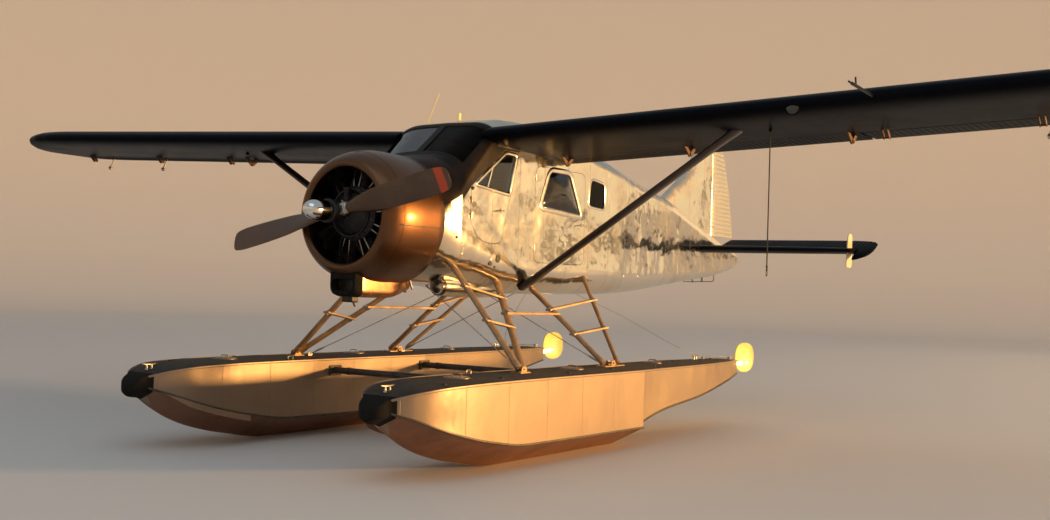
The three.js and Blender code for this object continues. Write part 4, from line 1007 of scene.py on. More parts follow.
# %% Probe, landing lamp and antennas
probe_y, lens_y = 4.375, 3.700
probe_z = chord_height(WING["le"], probe_y)
probe = merged(*[rod(spot(start, probe_y, probe_z + low), spot(end, probe_y, probe_z + high), radius, sides)
                 for start, low, end, high, radius, sides in (
                     (1.90, 0.0, 1.34, 0.026, 0.013, 16), (1.344, 0.026, 1.27, 0.029, 0.008, 16),
                     (1.44, 0.02, 1.424, 0.088, 0.007, 12))])
piece("air_speed_probe", probe, "black")
lens_z = chord_height(1.845, lens_y) - 0.028
lens_rows = [(1.8395 + 0.016 * (1 - np.cos(t)), 0.058 * np.sin(t)) for t in np.linspace(0.02, np.pi / 2, 9)]
piece("landing_lens", turned([*lens_rows, (1.885, 0.058), (1.885, 0.0)], lens_z, lens_y, 40), "lens")
lens_ring = [(1.852, 0.059), (1.848, 0.062), (1.852, 0.067), (1.880, 0.069), (1.880, 0.059)]
piece("landing_lens_rim", turned(lens_ring, lens_z, lens_y, 40, closed=True), "navy")
whip_line = [(2.285, -0.498, 1.000), (2.335, -0.500, 1.090), (2.425, -0.505, 1.245), (2.518, -0.508, 1.403)]
whip = tube(trail(smooth(whip_line, 5)), 0.0042, 10)
whip_foot = turned([(2.270, 0.0), (2.270, 0.019), (2.305, 0.016), (2.305, 0.0)], 1.022, -0.499, 20)
mast = carried(trail([(2.195, 0.0, 1.01), (2.205, 0.0, 1.125)]), streamline(0.042, 0.012))
piece("whip_antenna", merged(whip, whip_foot), "pale")
piece("blade_antenna", mast, "pale")

# %% [markdown]
# ## Wing struts
# One long streamlined strut a side runs from the lower corner of the fuselage to a fitting under the wing,
# with a small fairing at each end.

# %% Wing struts
strut_foot, strut_top = spot(2.620, 0.540, -0.640), spot(2.400, 3.110, chord_height(WING["le"], 3.110))
share = np.linspace(0, 1, 30)
swell = 1 + 0.22 * np.exp(-((share - 0.06) / 0.035) ** 2) + 0.22 * np.exp(-((share - 0.93) / 0.03) ** 2)
strut_path = strut_foot + share[:, None] * (strut_top - strut_foot)
wing_strut = carried(strut_path, streamline(0.150, 0.062, 28), scale=swell)
wing_points, wing_faces = wing_skin(np.arange(0.54, 6.7, 0.4))
wing_strut = combined(wing_strut, less(fuselage_tool, (wing_points - (0, 0, SEAT), wing_faces)))
pair("wing_strut", wing_strut, "wing_strut", replaces=True)

# %% [markdown]
# ## Tail
# Fin and rudder are one symmetrical section carried upwards, and the stabilizers one carried sideways. Both
# hinge lines are round noses. The elevators hang raised by twenty-two degrees, as the stick was left.

# %% Fin and rudder
FIN_ROWS = np.array([
    # height, leading edge, trailing edge, greatest thickness
    [0.060, 6.250, 9.060, 0.116], [0.523, 6.577, 8.950, 0.110], [0.800, 7.035, 8.884, 0.104],
    [1.075, 7.470, 8.780, 0.096], [1.204, 7.572, 8.728, 0.090], [1.304, 7.655, 8.684, 0.084],
    [1.450, 7.770, 8.600, 0.070], [1.560, 7.900, 8.500, 0.052], [1.615, 8.040, 8.390, 0.026],
])
TAIL_ROWS = np.array([
    # y, leading edge, trailing edge, greatest thickness
    [0.060, 7.400, 8.480, 0.104], [1.500, 7.600, 8.480, 0.092], [2.050, 7.690, 8.476, 0.080],
    [2.230, 7.745, 8.460, 0.072], [2.340, 7.830, 8.420, 0.058], [2.400, 7.950, 8.340, 0.038],
    [2.415, 8.040, 8.260, 0.020],
])
FIN = {"hinge": 8.240, "nose": 0.036, "base": 0.168, "hinges": (0.300, 0.850, 1.350)}
TAIL = {"hinge": 8.060, "height": -0.030, "nose": 0.039, "up": 22, "horn": 2.235, "hinges": (0.420, 1.300, 2.120)}


def fin_skin(table, rows, upright, front=None, back=None):
    """A symmetrical section carried along the rows, upright or across, beaded where front and back are given."""
    rows = np.asarray(rows, float)
    le, te, thick = (column[:, None] for column in eased(table, rows).T)
    along, side_height, side = airfoil(1.0, 0.0, 18)
    station = le + along[None] * (te - le)
    aside = side_height[None] * thick
    if front:
        aside = aside + side[None] * beads(rows[:, None], station, front, back)
    rows = rows[:, None] + 0 * station
    return loft(spot(station, aside, rows) if upright else spot(station, rows, TAIL["height"] + aside))


def fin_axis(height):
    return spot(FIN["hinge"], 0.0, height)


def fin_tool(radius, low):
    return combined(rod(fin_axis(low), fin_axis(1.7), radius, 32),
                    [("UNION", box((FIN["hinge"], 9.3), (-0.2, 0.2), (low, 1.7)))])


fin_rows = np.unique(np.concatenate([np.linspace(0.06, 1.56, 26), tip_rows(1.615, 0.055, 10)]))
fin_tools = less(hull(6.0, 9.24, grow=SEAT), fin_tool(FIN["nose"] + NOSE_GAP, -0.1))
piece("fin_skin", combined(fin_skin(FIN_ROWS, fin_rows, True), fin_tools), "skin", replaces=["fin"])
rudder_rows = np.concatenate([np.arange(0.12, 1.60, BEAD["step"]), tip_rows(1.615, 0.013, 5)])
rudder = combined(fin_skin(FIN_ROWS, rudder_rows, True, 8.30, 9.3), within(fin_tool(FIN["nose"], FIN["base"])))
rudder = combined(rudder, hinge_slots(fin_axis, FIN["hinges"], FIN["nose"] + NOSE_GAP))
piece("rudder_skin", rudder, "ribbed", "rudder", replaces=["rudder"])
rudder_arms = []
for h in FIN["hinges"]:
    low, high = h - ARM_HALF, h + ARM_HALF
    rudder_arms += [box((8.15, FIN["hinge"]), (-0.008, 0.008), (low, high)),
                    rod(fin_axis(low), fin_axis(high), 0.015, 20)]
piece("rudder_hinge_arms", merged(*rudder_arms), "steel")

# %% Stabilizers, raised elevators and end fins
def tail_axis(y):
    return spot(TAIL["hinge"], y, TAIL["height"])


def tail_tool(radius, inner, horn):
    return combined(roller(tail_axis(inner), tail_axis(2.5), radius),
                    [("UNION", box((station, 8.7), (start, 2.5), (-0.4, 0.4)))
                     for station, start in ((TAIL["hinge"], inner), (7.5, horn))])


tail_tip = tip_rows(2.415, 0.075, 12)
stabilizer = fin_skin(TAIL_ROWS, np.concatenate([np.linspace(0.06, 2.32, 24), tail_tip]), False)
stabilizer = combined(stabilizer, less(hull(6.5, 9.24, grow=SEAT),
                                       tail_tool(TAIL["nose"] + NOSE_GAP, 0.1, TAIL["horn"] - 0.01)))
pair("stabilizer", stabilizer, "navy", replaces=True)
elevator = fin_skin(TAIL_ROWS, np.concatenate([np.arange(0.23, 2.33, BEAD["step"]), tail_tip]), False, 8.12, 8.47)
elevator = combined(elevator, within(tail_tool(TAIL["nose"], 0.25, TAIL["horn"])))
elevator = combined(elevator, hinge_slots(tail_axis, TAIL["hinges"], TAIL["nose"] + NOSE_GAP))
for side, half in (("port", elevator), ("starboard", other_side(elevator))):
    held_up = rotated(half, np.radians(TAIL["up"]), 1, tail_axis(0.0))
    piece(f"{side}_elevator_skin", held_up, "navy", "elevator", replaces=[f"{side}_elevator"])
elevator_arms = []
for y in TAIL["hinges"]:
    low, high = y - ARM_HALF, y + ARM_HALF
    elevator_arms += [box((7.97, TAIL["hinge"]), (low, high), (-0.038, -0.022)),
                      rod(tail_axis(low), tail_axis(high), 0.015, 20)]
pair("elevator_hinge_arms", merged(*elevator_arms), "steel")
end_fin = rounded([(7.79, -0.25), (8.0, -0.25), (8.0, 0.19), (7.85, 0.19)], 0.06)
pair("end_fin", slab(end_fin, 2.1495, 2.1625), "cream")
print("tail made")

# %% [markdown]
# ## The engine
# Nine cylinders stand round a crankcase. Each is a finned barrel under a finned head, with two rocker boxes and
# two push-rod tubes in front, which are the bright spokes that show in the mouth of the cowl. One cylinder is
# worked out upright, and its copies are turned about the thrust line.

# %% One cylinder, worked out upright
def spun(shape, angle):
    """A shape turned about the thrust line, an upright one towards port first."""
    return rotated(shape, -angle, 0, (0, 0, THRUST_Z))


def upright(profile, station, y=0.0, outline=None):
    """A profile of height and size carried up a vertical line: a circle, or a rounded outline, at each height."""
    profile = np.asarray(profile, float)
    outline = circle(28) if outline is None else outline
    station = station + profile[:, 1:] * outline[None, :, 0]
    return loft(spot(station, y + profile[:, 1:] * outline[None, :, 1], profile[:, :1] + 0 * station))


def fins(low, high, count, inner, outer):
    """Heights and sizes of a stack of thin cooling fins with narrow gaps."""
    base = np.linspace(low, high, count, endpoint=False)[:, None]
    heights = base + (high - low) / count * np.array([0, 0.55, 0.62, 0.93])
    sizes = 0 * base + np.array([inner, inner, outer, outer])
    return np.stack([heights.ravel(), sizes.ravel()], -1)


CYLINDERS = 9
CYLINDER_STATION = 0.780
square = rounded([(1, 1), (1, -1), (-1, -1), (-1, 1)], 0.5, 6)
barrel = upright(fins(0.235, 0.398, 12, 0.068, 0.083), CYLINDER_STATION)
head = upright([*fins(0.400, 0.490, 8, 0.086, 0.098), (0.496, 0.088), (0.508, 0.060), (0.513, 0.02)],
               CYLINDER_STATION, outline=square)
base_flange = upright([(0.225, 0.092), (0.24, 0.092), (0.242, 0.080)], CYLINDER_STATION)
rocker_profile = [(0.462, 0.024), (0.466, 0.028), (0.500, 0.028), (0.502, 0.031), (0.508, 0.031), (0.512, 0.026)]
rocker_boxes = merged(*[upright(rocker_profile, 0.715, y, square) for y in (-0.058, 0.058)])
spark_plug = rod(spot(0.700, 0.0, 0.447), spot(0.655, 0.0, 0.452), 0.011)
pushrods = merged(*[tube(trail([(0.652, 0.5 * y, 0.235), (0.700, y, 0.470)]), 0.0095) for y in (-0.055, 0.055)])
lead_line = [(0.585, 0.0, 0.215), (0.585, 0.012, 0.28), (0.62, 0.018, 0.37), (0.640, 0.008, 0.44),
             (0.660, 0.0, 0.452)]
lead = tube(trail(smooth(lead_line, 5)), 0.0045, 8)

# %% Nine cylinders, crankcase, harness and baffles
def ring_of(shape, count=CYLINDERS):
    return merged(*[spun(shape, angle) for angle in angles(count)])


nose_curve = smooth([(0.456, 0.066), (0.478, 0.086), (0.520, 0.112), (0.575, 0.165), (0.612, 0.205),
                     (0.634, 0.238)], 5)
crankcase = turned([(0.456, 0.0), *nose_curve, (0.640, 0.250), (0.930, 0.250), (0.960, 0.215), (1.200, 0.200),
                    (1.4197, 0.200), (1.4197, 0.0)], 0.0, segments=72)
bolts = ring_of(upright([(0.212, 0.010), (0.2145, 0.010), (0.222, 0.006)], 0.628), 24)
governor = merged(upright([(0.10, 0.030), (0.20, 0.030), (0.205, 0.036), (0.225, 0.036), (0.228, 0.02)], 0.535),
                  rod(spot(0.51, 0.0, 0.19), spot(0.47, 0.06, 0.16), 0.008))
piece("engine_cylinders", merged(ring_of(barrel), ring_of(head), ring_of(base_flange)), "fins", replaces=["engine"])
piece("engine_crankcase", merged(crankcase, governor), "casting")
piece("rocker_boxes", ring_of(rocker_boxes), "casting")
piece("pushrod_tubes", merged(ring_of(pushrods), ring_of(spark_plug), bolts), "pushrod")
harness_ring = turned([(0.585 + 0.012 * np.cos(t), 0.215 + 0.012 * np.sin(t)) for t in angles(12)], 0.0, closed=True)
piece("ignition_harness", merged(harness_ring, ring_of(lead)), "casting")
baffle = turned([(0.872, 0.25), (0.872, 0.545), (0.876, 0.545), (0.876, 0.25)], -0.025, closed=True)
piece("engine_baffle", baffle, "black")
print("engine made:", CYLINDERS, "cylinders")

# %% [markdown]
# ## Cowl and scoops
# The cowl is a ring of sheet turned about its own line, a little below the thrust line. Its lip is rolled to a
# full curve. Three lengthwise joints with toggle latches and one joint round the nose bowl hold it together.

# %% Cowl
COWL_Z = -0.025
COWL_END = 1.205
CURVED_ROWS = 12  # points of the outside that belong to the rolled lip
JOINTS = np.radians([4, 98, 262])
cowl_outside = smooth([(0.480, 0.450), (0.470, 0.470), (0.476, 0.497), (0.505, 0.530), (0.575, 0.572), (0.690, 0.604),
                       (0.850, 0.618), (1.030, 0.617)], 6)
cowl_outside = np.concatenate([cowl_outside, [(1.12, 0.615), (COWL_END, 0.612)]])
cowl_inside = smooth([(COWL_END, 0.602), (0.850, 0.598), (0.700, 0.580), (0.600, 0.548), (0.535, 0.503),
                      (0.500, 0.450)], 6)
cowl = turned([*cowl_outside, (1.2097, 0.608), (1.2097, 0.604), *cowl_inside, (0.490, 0.442)], COWL_Z, segments=144,
              closed=True)
piece("cowl_skin", cowl, "bronze", replaces=["cowl"], crease=40)


def cowl_radius(station):
    return np.interp(station, cowl_outside[CURVED_ROWS:, 0], cowl_outside[CURVED_ROWS:, 1])


def on_cowl(stations, angle, out=0.0):
    """Points on the cowl at an angle from the top, towards port."""
    radius = cowl_radius(stations) + out
    return spot(stations, radius * np.sin(angle), COWL_Z + radius * np.cos(angle))


trim = turned([(0.636, 0.590), (0.636, cowl_radius(0.636) + 0.0018), (0.646, cowl_radius(0.646) + 0.0018),
               (0.646, 0.592)], COWL_Z, segments=144, closed=True)
latches = []
for angle in JOINTS:
    sideways = (0, np.cos(angle), -np.sin(angle))
    strip = [(-0.004, -0.002), (0.004, -0.002), (0.004, 0.0014), (-0.004, 0.0014)]
    latches.append(carried(on_cowl(np.linspace(0.590, 1.200, 24), angle), strip, fore=sideways))
    for station in (0.62, 0.88, 1.14):
        grip = on_cowl(station + np.array([-0.028, -0.022, 0.022, 0.028]), angle, 0.001)
        latches.append(carried(grip, [(-0.008, 0), (0.008, 0), (0.006, 0.006), (-0.006, 0.006)],
                               fore=sideways, scale=[0.6, 1, 1, 0.6]))
piece("cowl_joints", trim, "bronze")
piece("cowl_latches", merged(*latches), "black")

# %% Scoops under the nose
def scoop_rings(table, corner):
    """Upright rounded rectangles along the stations: half width, lowest and highest height."""
    rings = []
    for station, half, low, high in table:
        outline = rounded([(half, low), (half, high), (-half, high), (-half, low)], corner, 7)
        rings.append(spot(station, outline[:, 0], outline[:, 1]))
    return loft(rings)


carb_table = [(0.505, 0.150, -0.735, -0.470), (0.640, 0.165, -0.765, -0.480), (1.000, 0.160, -0.768, -0.480),
              (1.330, 0.120, -0.700, -0.500)]
cowl_plug = turned([(0.47, 0.0), *(cowl_outside[6:] + (0, SEAT)), (1.2103, 0.6123), (1.2103, 0.0)], COWL_Z,
                   segments=96)
body_rows = np.linspace(0.600, 1.330, 22)
carb_body = scoop_rings(np.column_stack([body_rows, eased(carb_table, body_rows)]), 0.07)
carb_throat = scoop_rings([(0.45, 0.128, -0.712, -0.60), (0.70, 0.120, -0.705, -0.60)], 0.05)
carb_body = combined(carb_body, less(carb_throat, cowl_plug, fuselage_tool))
piece("carburettor_scoop_body", carb_body, "copper", replaces=["carburettor_scoop"])
mouth_table = [(0.505, 0.138, -0.724, -0.588), (0.510, 0.148, -0.736, -0.50), (0.530, 0.158, -0.748, -0.49),
               (0.575, 0.166, -0.760, -0.48), (0.597, 0.166, -0.764, -0.48), (0.5995, 0.160, -0.758, -0.48)]
carb_mouth = combined(scoop_rings(mouth_table, 0.07), less(carb_throat, cowl_plug))
piece("carburettor_mouth_ring", carb_mouth, "rubber")
piece("carburettor_throat", box((0.612, 0.620), (-0.127, 0.127), (-0.711, -0.6015)), "black")
drain_table = [(0.575, 0.055, -0.800, -0.762), (0.58, 0.062, -0.812, -0.75), (0.66, 0.062, -0.815, -0.75),
               (0.668, 0.052, -0.805, -0.755)]
drain = merged(scoop_rings(drain_table, 0.015), rod(spot(0.63, 0.03, -0.81), spot(0.65, 0.034, -0.85), 0.009))
piece("carburettor_drain_box", drain, "black")

COOLER_Z, COOLER_Y = -0.645, 0.330
cooler_curve = smooth([(1.480, 0.076), (1.500, 0.086), (1.700, 0.098), (2.000, 0.101), (2.300, 0.096), (2.600, 0.062),
                       (2.66, 0.02)], 6)
cooler_mouth = turned([(1.40, 0), (1.40, 0.068), (1.60, 0.064), (1.60, 0)], COOLER_Z, COOLER_Y)
cooler = turned([(1.478, 0.072), *cooler_curve, (2.665, 0.0)], COOLER_Z, COOLER_Y, 48)
cooler = combined(cooler, less(cooler_mouth, fuselage_tool))
piece("oil_cooler_skin", cooler, "skin", replaces=["oil_cooler_scoop"])
cooler_lip = turned([(1.490, 0.070), (1.4765, 0.076), (1.482, 0.084), (1.500, 0.088), (1.520, 0.090), (1.520, 0.066)],
                    COOLER_Z, COOLER_Y, 48, closed=True)
piece("oil_cooler_lip", combined(cooler_lip, less(fuselage_tool)), "black")
honeycomb = merged(*[box((1.588, 1.597), (0.262, 0.398), (COOLER_Z + dz - 0.001, COOLER_Z + dz + 0.001))
                     for dz in np.linspace(-0.03, 0.05, 9)])
piece("oil_cooler_core", honeycomb, "casting")

# %% [markdown]
# ## Propeller
# Two metal blades turn in a steel hub behind a polished dome. A blade's section is a lens that is nearly round
# at the root and thin at the tip. Its chord, thickness and pitch are read from one table, and each point of it
# is turned by the pitch before it is put at its radius.

# %% Propeller blades
BLADE = np.array([
    # radius, chord, thickness, pitch in degrees
    [0.060, 0.092, 0.090, 46], [0.120, 0.092, 0.088, 45], [0.170, 0.100, 0.078, 44], [0.330, 0.170, 0.044, 38],
    [0.600, 0.232, 0.028, 31], [0.900, 0.240, 0.020, 25], [1.130, 0.232, 0.014, 21], [1.240, 0.205, 0.010, 19],
    [1.282, 0.160, 0.008, 18], [1.295, 0.095, 0.006, 18],
])
PROPELLER_STATION = 0.385
cos, sin = np.cos(0.22), np.sin(0.22)  # the blades' angle above the horizontal
blade_rows = np.concatenate([np.linspace(0.06, 1.2, 60), tip_rows(1.295, 0.095, 12, 0.95)])
chord, thick, pitch = (column[:, None] for column in eased(BLADE, blade_rows).T)
oval = circle(28)
lean = step_up(blade_rows, 0.12, 0.5)[:, None]
along = chord * 0.5 * oval[None, :, 0]
across = thick * 0.5 * oval[None, :, 1] * (1 + 0.25 * lean * oval[None, :, 0])
pitch = np.radians(pitch)
fore = along * np.sin(pitch) - across * np.cos(pitch)
tangent = along * np.cos(pitch) + across * np.sin(pitch)
radius = blade_rows[:, None]
blade = loft(np.stack([NOSE_X - PROPELLER_STATION + fore, radius * cos - tangent * sin,
                       THRUST_Z + radius * sin + tangent * cos], -1))
piece("propeller_blades", merged(blade, spun(blade, np.pi)), "blade", "propeller", replaces=["propeller"])

# %% Hub, clamps and dome
dome_curve = smooth([(0.000, 0.003), (0.004, 0.026), (0.020, 0.055), (0.055, 0.077), (0.110, 0.088), (0.180, 0.0895),
                     (0.244, 0.090)], 7)
dome = turned([*dome_curve, (0.250, 0.087), (0.250, 0.0)], 0.0, segments=72)
piece("propeller_dome", dome, "chrome", "propeller")
hub = turned([(0.2505, 0.0), (0.2505, 0.078), (0.262, 0.080), (0.264, 0.100), (0.275, 0.108), (0.330, 0.104),
              (0.340, 0.092), (0.4467, 0.092), (0.4547, 0.084), (0.4547, 0.0)], 0.0, segments=72)
hub_centre = spot(PROPELLER_STATION, 0, 0)
clamps, clamp_bolts = [], []
for way in (1, -1):
    blade_way = way * np.array([0, cos, sin])
    line = [hub_centre + r * blade_way for r in (0.075, 0.080, 0.100, 0.104, 0.140, 0.144, 0.158, 0.163)]
    clamps.append(carried(line, circle(36, 0.058), scale=[0.94, 1, 1, 1.1, 1.1, 1, 1, 0.9]))
    for side in (1, -1):
        ear = hub_centre + 0.122 * blade_way + side * 0.062 * np.array([0, -sin, cos])
        clamp_bolts.append(tube([ear - (0.035, 0, 0), ear + (0.035, 0, 0)], 0.012, 6, fore=(0, 1, 0)))
piece("propeller_hub", hub, "casting", "propeller")
piece("propeller_clamps", merged(*clamps, *clamp_bolts), "steel", "propeller")
print("propeller made")

# %% [markdown]
# ## Floats
# Each float is one long hull: a vee bottom with a step under the centre of gravity, flat sides and a crowned
# deck. A table gives half beam, keel, chine and deck along the stations. The side, bottom and deck are three
# closed skins with three materials: the deck is dark non-skid, and the bottom is the side's own sheet made
# darker and redder, which is painted shade and painted warm reflection.

# %% Float sizes
FLOAT_ROWS = np.array([
    # station, half beam, keel, chine, deck edge, deck top
    [-0.610, 0.130, -1.690, -1.618, -1.522, -1.510], [-0.560, 0.185, -1.738, -1.640, -1.504, -1.492],
    [-0.450, 0.262, -1.812, -1.678, -1.474, -1.460], [-0.250, 0.340, -1.920, -1.750, -1.444, -1.428],
    [0.000, 0.374, -2.012, -1.822, -1.430, -1.412], [0.400, 0.384, -2.105, -1.905, -1.422, -1.402],
    [0.950, 0.385, -2.180, -1.972, -1.420, -1.400], [3.050, 0.385, -2.180, -1.990, -1.424, -1.400],
    [3.056, 0.378, -2.088, -1.930, -1.424, -1.400], [4.500, 0.330, -1.868, -1.752, -1.424, -1.400],
    [5.430, 0.215, -1.720, -1.645, -1.430, -1.404], [5.960, 0.095, -1.628, -1.594, -1.440, -1.420],
])
STEP_ROW = 7
STEP = FLOAT_ROWS[STEP_ROW, 0]


def float_sizes(stations):
    """Half beam, keel, chine, deck edge and deck top: eased before the step, and drawn straighter behind it."""
    stations = np.asarray(stations, float)
    rows = np.where(stations[:, None] <= STEP, eased(FLOAT_ROWS[:STEP_ROW + 1], stations),
                    eased(FLOAT_ROWS[STEP_ROW:], stations))
    return (column[:, None] for column in rows.T)


def deck_height(share, edge, top):
    """Height of the deck at a share of the half beam: a flat crown with rounded shoulders."""
    return edge + (top - edge) * (1 - np.abs(share) ** 2.6)


float_stations = np.concatenate([-0.61 + 0.16 * np.linspace(0, 1, 6, endpoint=False) ** 1.2,
                                 np.arange(-0.45, 3.04, 0.07), [STEP, 3.056], np.arange(3.12, 5.94, 0.09), [5.960]])
half, keel, chine, edge, top = float_sizes(float_stations)
before_step = float_stations <= STEP
inner = half - 0.0015
crown_y = np.linspace(1, -1, 17)[None] * inner
crown_z = deck_height(np.linspace(1, -1, 17)[None], edge, top)
ring_y = np.concatenate([0.02 + 0 * half, inner, inner, crown_y[:, 1:-1], -inner, -inner, -0.02 + 0 * half], 1)
ring_z = np.concatenate([keel + 0.004, chine + 0.002, edge, crown_z[:, 1:-1], edge, chine + 0.002, keel + 0.004], 1)
float_body = loft(spot(float_stations[:, None], FLOAT_Y + ring_y, ring_z))
pair("float", float_body, "float_side", replaces=True, crease=24)

# %% Bottom, keel, deck and rails
def band(stations, y, z, depth):
    """A closed sheet over grids of y and height: the outer surface, and the same lowered by its thickness."""
    return loft(np.concatenate([spot(stations[:, None], FLOAT_Y + y, z),
                                spot(stations[:, None], FLOAT_Y + y, z - depth)[:, ::-1]], 1))


# The vee bottoms and keel strip take the float_bottom material: painted shade, darker and redder than the sides
vee = np.linspace(-1, 1, 25)[None]
bottom_z = keel + (chine - keel) * np.clip(np.abs(vee) - 0.05, 0, 1) / 0.95
bottoms = [band(float_stations[part], (vee * half)[part], bottom_z[part], -0.006)
           for part in (before_step, ~before_step)]
keel_line = spot(float_stations[before_step], FLOAT_Y, keel[before_step, 0] + 0.006)
keel_strip = carried(keel_line, [(-0.016, -0.004), (0.016, -0.004), (0.012, 0.006), (-0.012, 0.006)], fore=(0, 1, 0))
pair("float_bottom", merged(*bottoms, keel_strip), "float_bottom", crease=24)

on_deck = (float_stations > -0.59) & (float_stations < 5.75)
deck_share = np.linspace(-0.90, 0.90, 15)[None]
deck_z = deck_height(deck_share, edge[on_deck], top[on_deck]) + 0.0022
pair("float_deck", band(float_stations[on_deck], deck_share * half[on_deck], deck_z, 0.004), "deck")

rail_shape = np.array([(0.0, -0.011), (0.007, -0.008), (0.009, 0.0), (0.007, 0.008), (0.0, 0.011), (-0.004, 0.0)])
rails, chine_rails = [], []
for side in (1, -1):
    wide, tall = rail_shape[:, 0] * side, rail_shape[:, 1]
    for height, kept in ((edge[:, 0], rails), (chine[:, 0] + 0.004, chine_rails)):
        for part in (before_step, ~before_step):
            line = spot(float_stations[part], FLOAT_Y + side * (half[part, 0] - 0.001), height[part])
            kept.append(loft(line[:, None] + np.stack([0 * wide, wide, tall], -1)[None]))
pair("float_gunwale_rails", merged(*rails), "float_side")
pair("float_chine_rails", merged(*chine_rails), "spreader")
spray_stations = np.linspace(-0.56, 0.40, 30)
spray_half, _, spray_chine, _, _ = (column[:, 0] for column in float_sizes(spray_stations))
share = step_up(spray_stations, -0.56, -0.25)
drop = 0.055 * share
spray = np.stack([spot(spray_stations, FLOAT_Y - spray_half - dy, spray_chine + dz) for dy, dz in (
    (-0.004, 0.012), (0.004, 0.012), (0.016 * share, -drop), (0.012 * share, -drop))], 1)
pair("float_spray_rail", loft(spray), "float_side")
print("floats made")

# %% [markdown]
# The deck carries round hatch covers, pump-out cups and the cleats that lines are tied to. A rubber bumper
# wraps each bow.

# %% Bumpers, cleats, hatches and cups
def deck_top(station, aside=0.0):
    half, _, _, edge, top = (float(column[0, 0]) for column in float_sizes([station]))
    return deck_height(aside / half, edge, top)


def bow_cap(table, corner, y):
    """Rings whose top is flat and whose bottom is a vee, as the bow's own are."""
    rings = []
    for station, half, keel, chine, high in table:
        outline = rounded([(half, chine), (half, high), (-half, high), (-half, chine), (0, keel)],
                          min(corner, 0.6 * half), 8)
        rings.append(spot(station, y + outline[:, 0], outline[:, 1]))
    return loft(rings)


bumper_table = smooth([(-0.740, 0.032, -1.676, -1.655, -1.592), (-0.728, 0.064, -1.694, -1.655, -1.574),
                       (-0.700, 0.098, -1.706, -1.650, -1.548), (-0.655, 0.124, -1.714, -1.645, -1.520),
                       (-0.610, 0.140, -1.720, -1.642, -1.502), (-0.572, 0.176, -1.734, -1.650, -1.489)], 3)
pair("bow_bumper", bow_cap(bumper_table, 0.026, FLOAT_Y), "rubber", replaces=True)


def cleat(station):
    """A horn cleat: two feet, and a bar that thins towards its turned-up ends."""
    base, reach = deck_top(station), 0.075
    bar = smooth([(station - reach, base + 0.052), (station - 0.04, base + 0.046), (station + 0.04, base + 0.046),
                  (station + reach, base + 0.052)], 5)
    size = 1 - 0.5 * (np.abs(bar[:, 0] - station) / reach) ** 2
    feet = [upright([(base - 0.002, 0.016), (base + 0.004, 0.016), (base + 0.012, 0.009), (base + 0.046, 0.008)],
                    station + side * 0.028, FLOAT_Y) for side in (1, -1)]
    return merged(carried(spot(bar[:, 0], FLOAT_Y, bar[:, 1]), circle(12, 0.011), fore=(0, 1, 0), scale=size), *feet)


def hatch(station, radius=0.105):
    base = deck_top(station)
    lid = [(base - 0.004, radius + 0.012), (base + 0.005, radius + 0.012), (base + 0.007, radius + 0.004),
           (base + 0.013, radius), (base + 0.015, radius - 0.010), (base + 0.013, 0.002)]
    handle = smooth(trail([(station, FLOAT_Y + dy, base + dz) for dy, dz in (
        (-0.045, 0.010), (-0.04, 0.034), (0.04, 0.034), (0.045, 0.010))]), 4)
    return merged(upright(lid, station, FLOAT_Y, circle(40)), tube(handle, 0.005, 8))


def cup(station, aside, radius):
    """A pump-out cup, sunk a little into the deck."""
    base = deck_top(station, aside)
    return upright([(base - 0.003, radius), (base + 0.006, radius), (base + 0.010, radius - 0.006),
                    (base + 0.004, radius - 0.012)], station, FLOAT_Y + aside)


cups = [cup(station, 0.22, 0.024) for station in (-0.05, 0.75, 1.85, 2.65, 3.55)]
cups += [cup(station, 0.0, 0.022) for station in (4.45, 5.40)]
tie_ring = smooth(trail([(1.0 + dx, FLOAT_Y - 0.30, deck_top(1.0, 0.30) + dz) for dx, dz in (
    (-0.03, -0.004), (-0.03, 0.03), (0.03, 0.03), (0.03, -0.004))]), 5)
pair("float_cleats", merged(cleat(-0.480), cleat(4.990)), "steel")
pair("float_hatches", merged(hatch(0.42), hatch(2.28), hatch(3.95, 0.09)), "float_side")
pair("pump_out_cups", merged(*cups), "black")
pair("float_tie_ring", tube(tie_ring, 0.006, 10), "steel")

# %% [markdown]
# ## Float struts and step boards
# Each side has a front and a rear vee of streamlined struts, joined by step boards whose bolted ends stand out
# past the struts, and one long bridge between the two vees. Feet are forked fittings on the deck.

# %% Struts
FOOT_Z = -1.370
FEET = {"front": 1.390, "rear_a": 2.890, "rear_b": 3.170}
TOPS = {"a": (1.500, 0.485, -0.435), "b": (2.185, 0.522, -0.560), "c": (2.875, 0.478, -0.625),
        "d": (3.735, 0.595, -0.480)}
STRUTS = {"a": ("front", 1.0, 1.0, -0.025), "b": ("front", 1.0, 1.0, 0.025), "c": ("rear_a", 1.0, 1.0, 0.0),
          "d": ("rear_b", 0.7, 0.8, 0.0)}  # foot, share of the chord, share of the thickness, foot moved aft
VEES = {"front": ("a", "b", (0.22, 0.55)), "rear": ("c", "d", (0.30, 0.62))}  # struts, and shares where boards cross
OVERHANG = 0.055


def strut_at(name, share):
    """A point on a strut's middle line, from its top down."""
    foot, _, _, moved_aft = STRUTS[name]
    top = spot(*TOPS[name])
    return top + share * (spot(FEET[foot] + moved_aft, FLOAT_Y, FOOT_Z) - top)


def strut_section(name, out=0.0):
    _, chord_share, thick_share, _ = STRUTS[name]
    return streamline(0.092 * chord_share + 2 * out, 0.046 * thick_share + 2 * out, 26)


def strut(name):
    share = np.linspace(0, 1, 24)
    taper = 1 - 0.12 * np.exp(-(share / 0.05) ** 2) - 0.25 * np.exp(-((1 - share) / 0.03) ** 2)
    return carried(strut_at(name, share[:, None]), strut_section(name), scale=taper)


def cuff(name, low, high, out=0.006):
    """A clamp or sleeve round a strut, a little larger than its section."""
    path = strut_at(name, np.array([[low], [low + 0.002], [high - 0.002], [high]]))
    return carried(path, strut_section(name, out), scale=[0.95, 1, 1, 0.95])


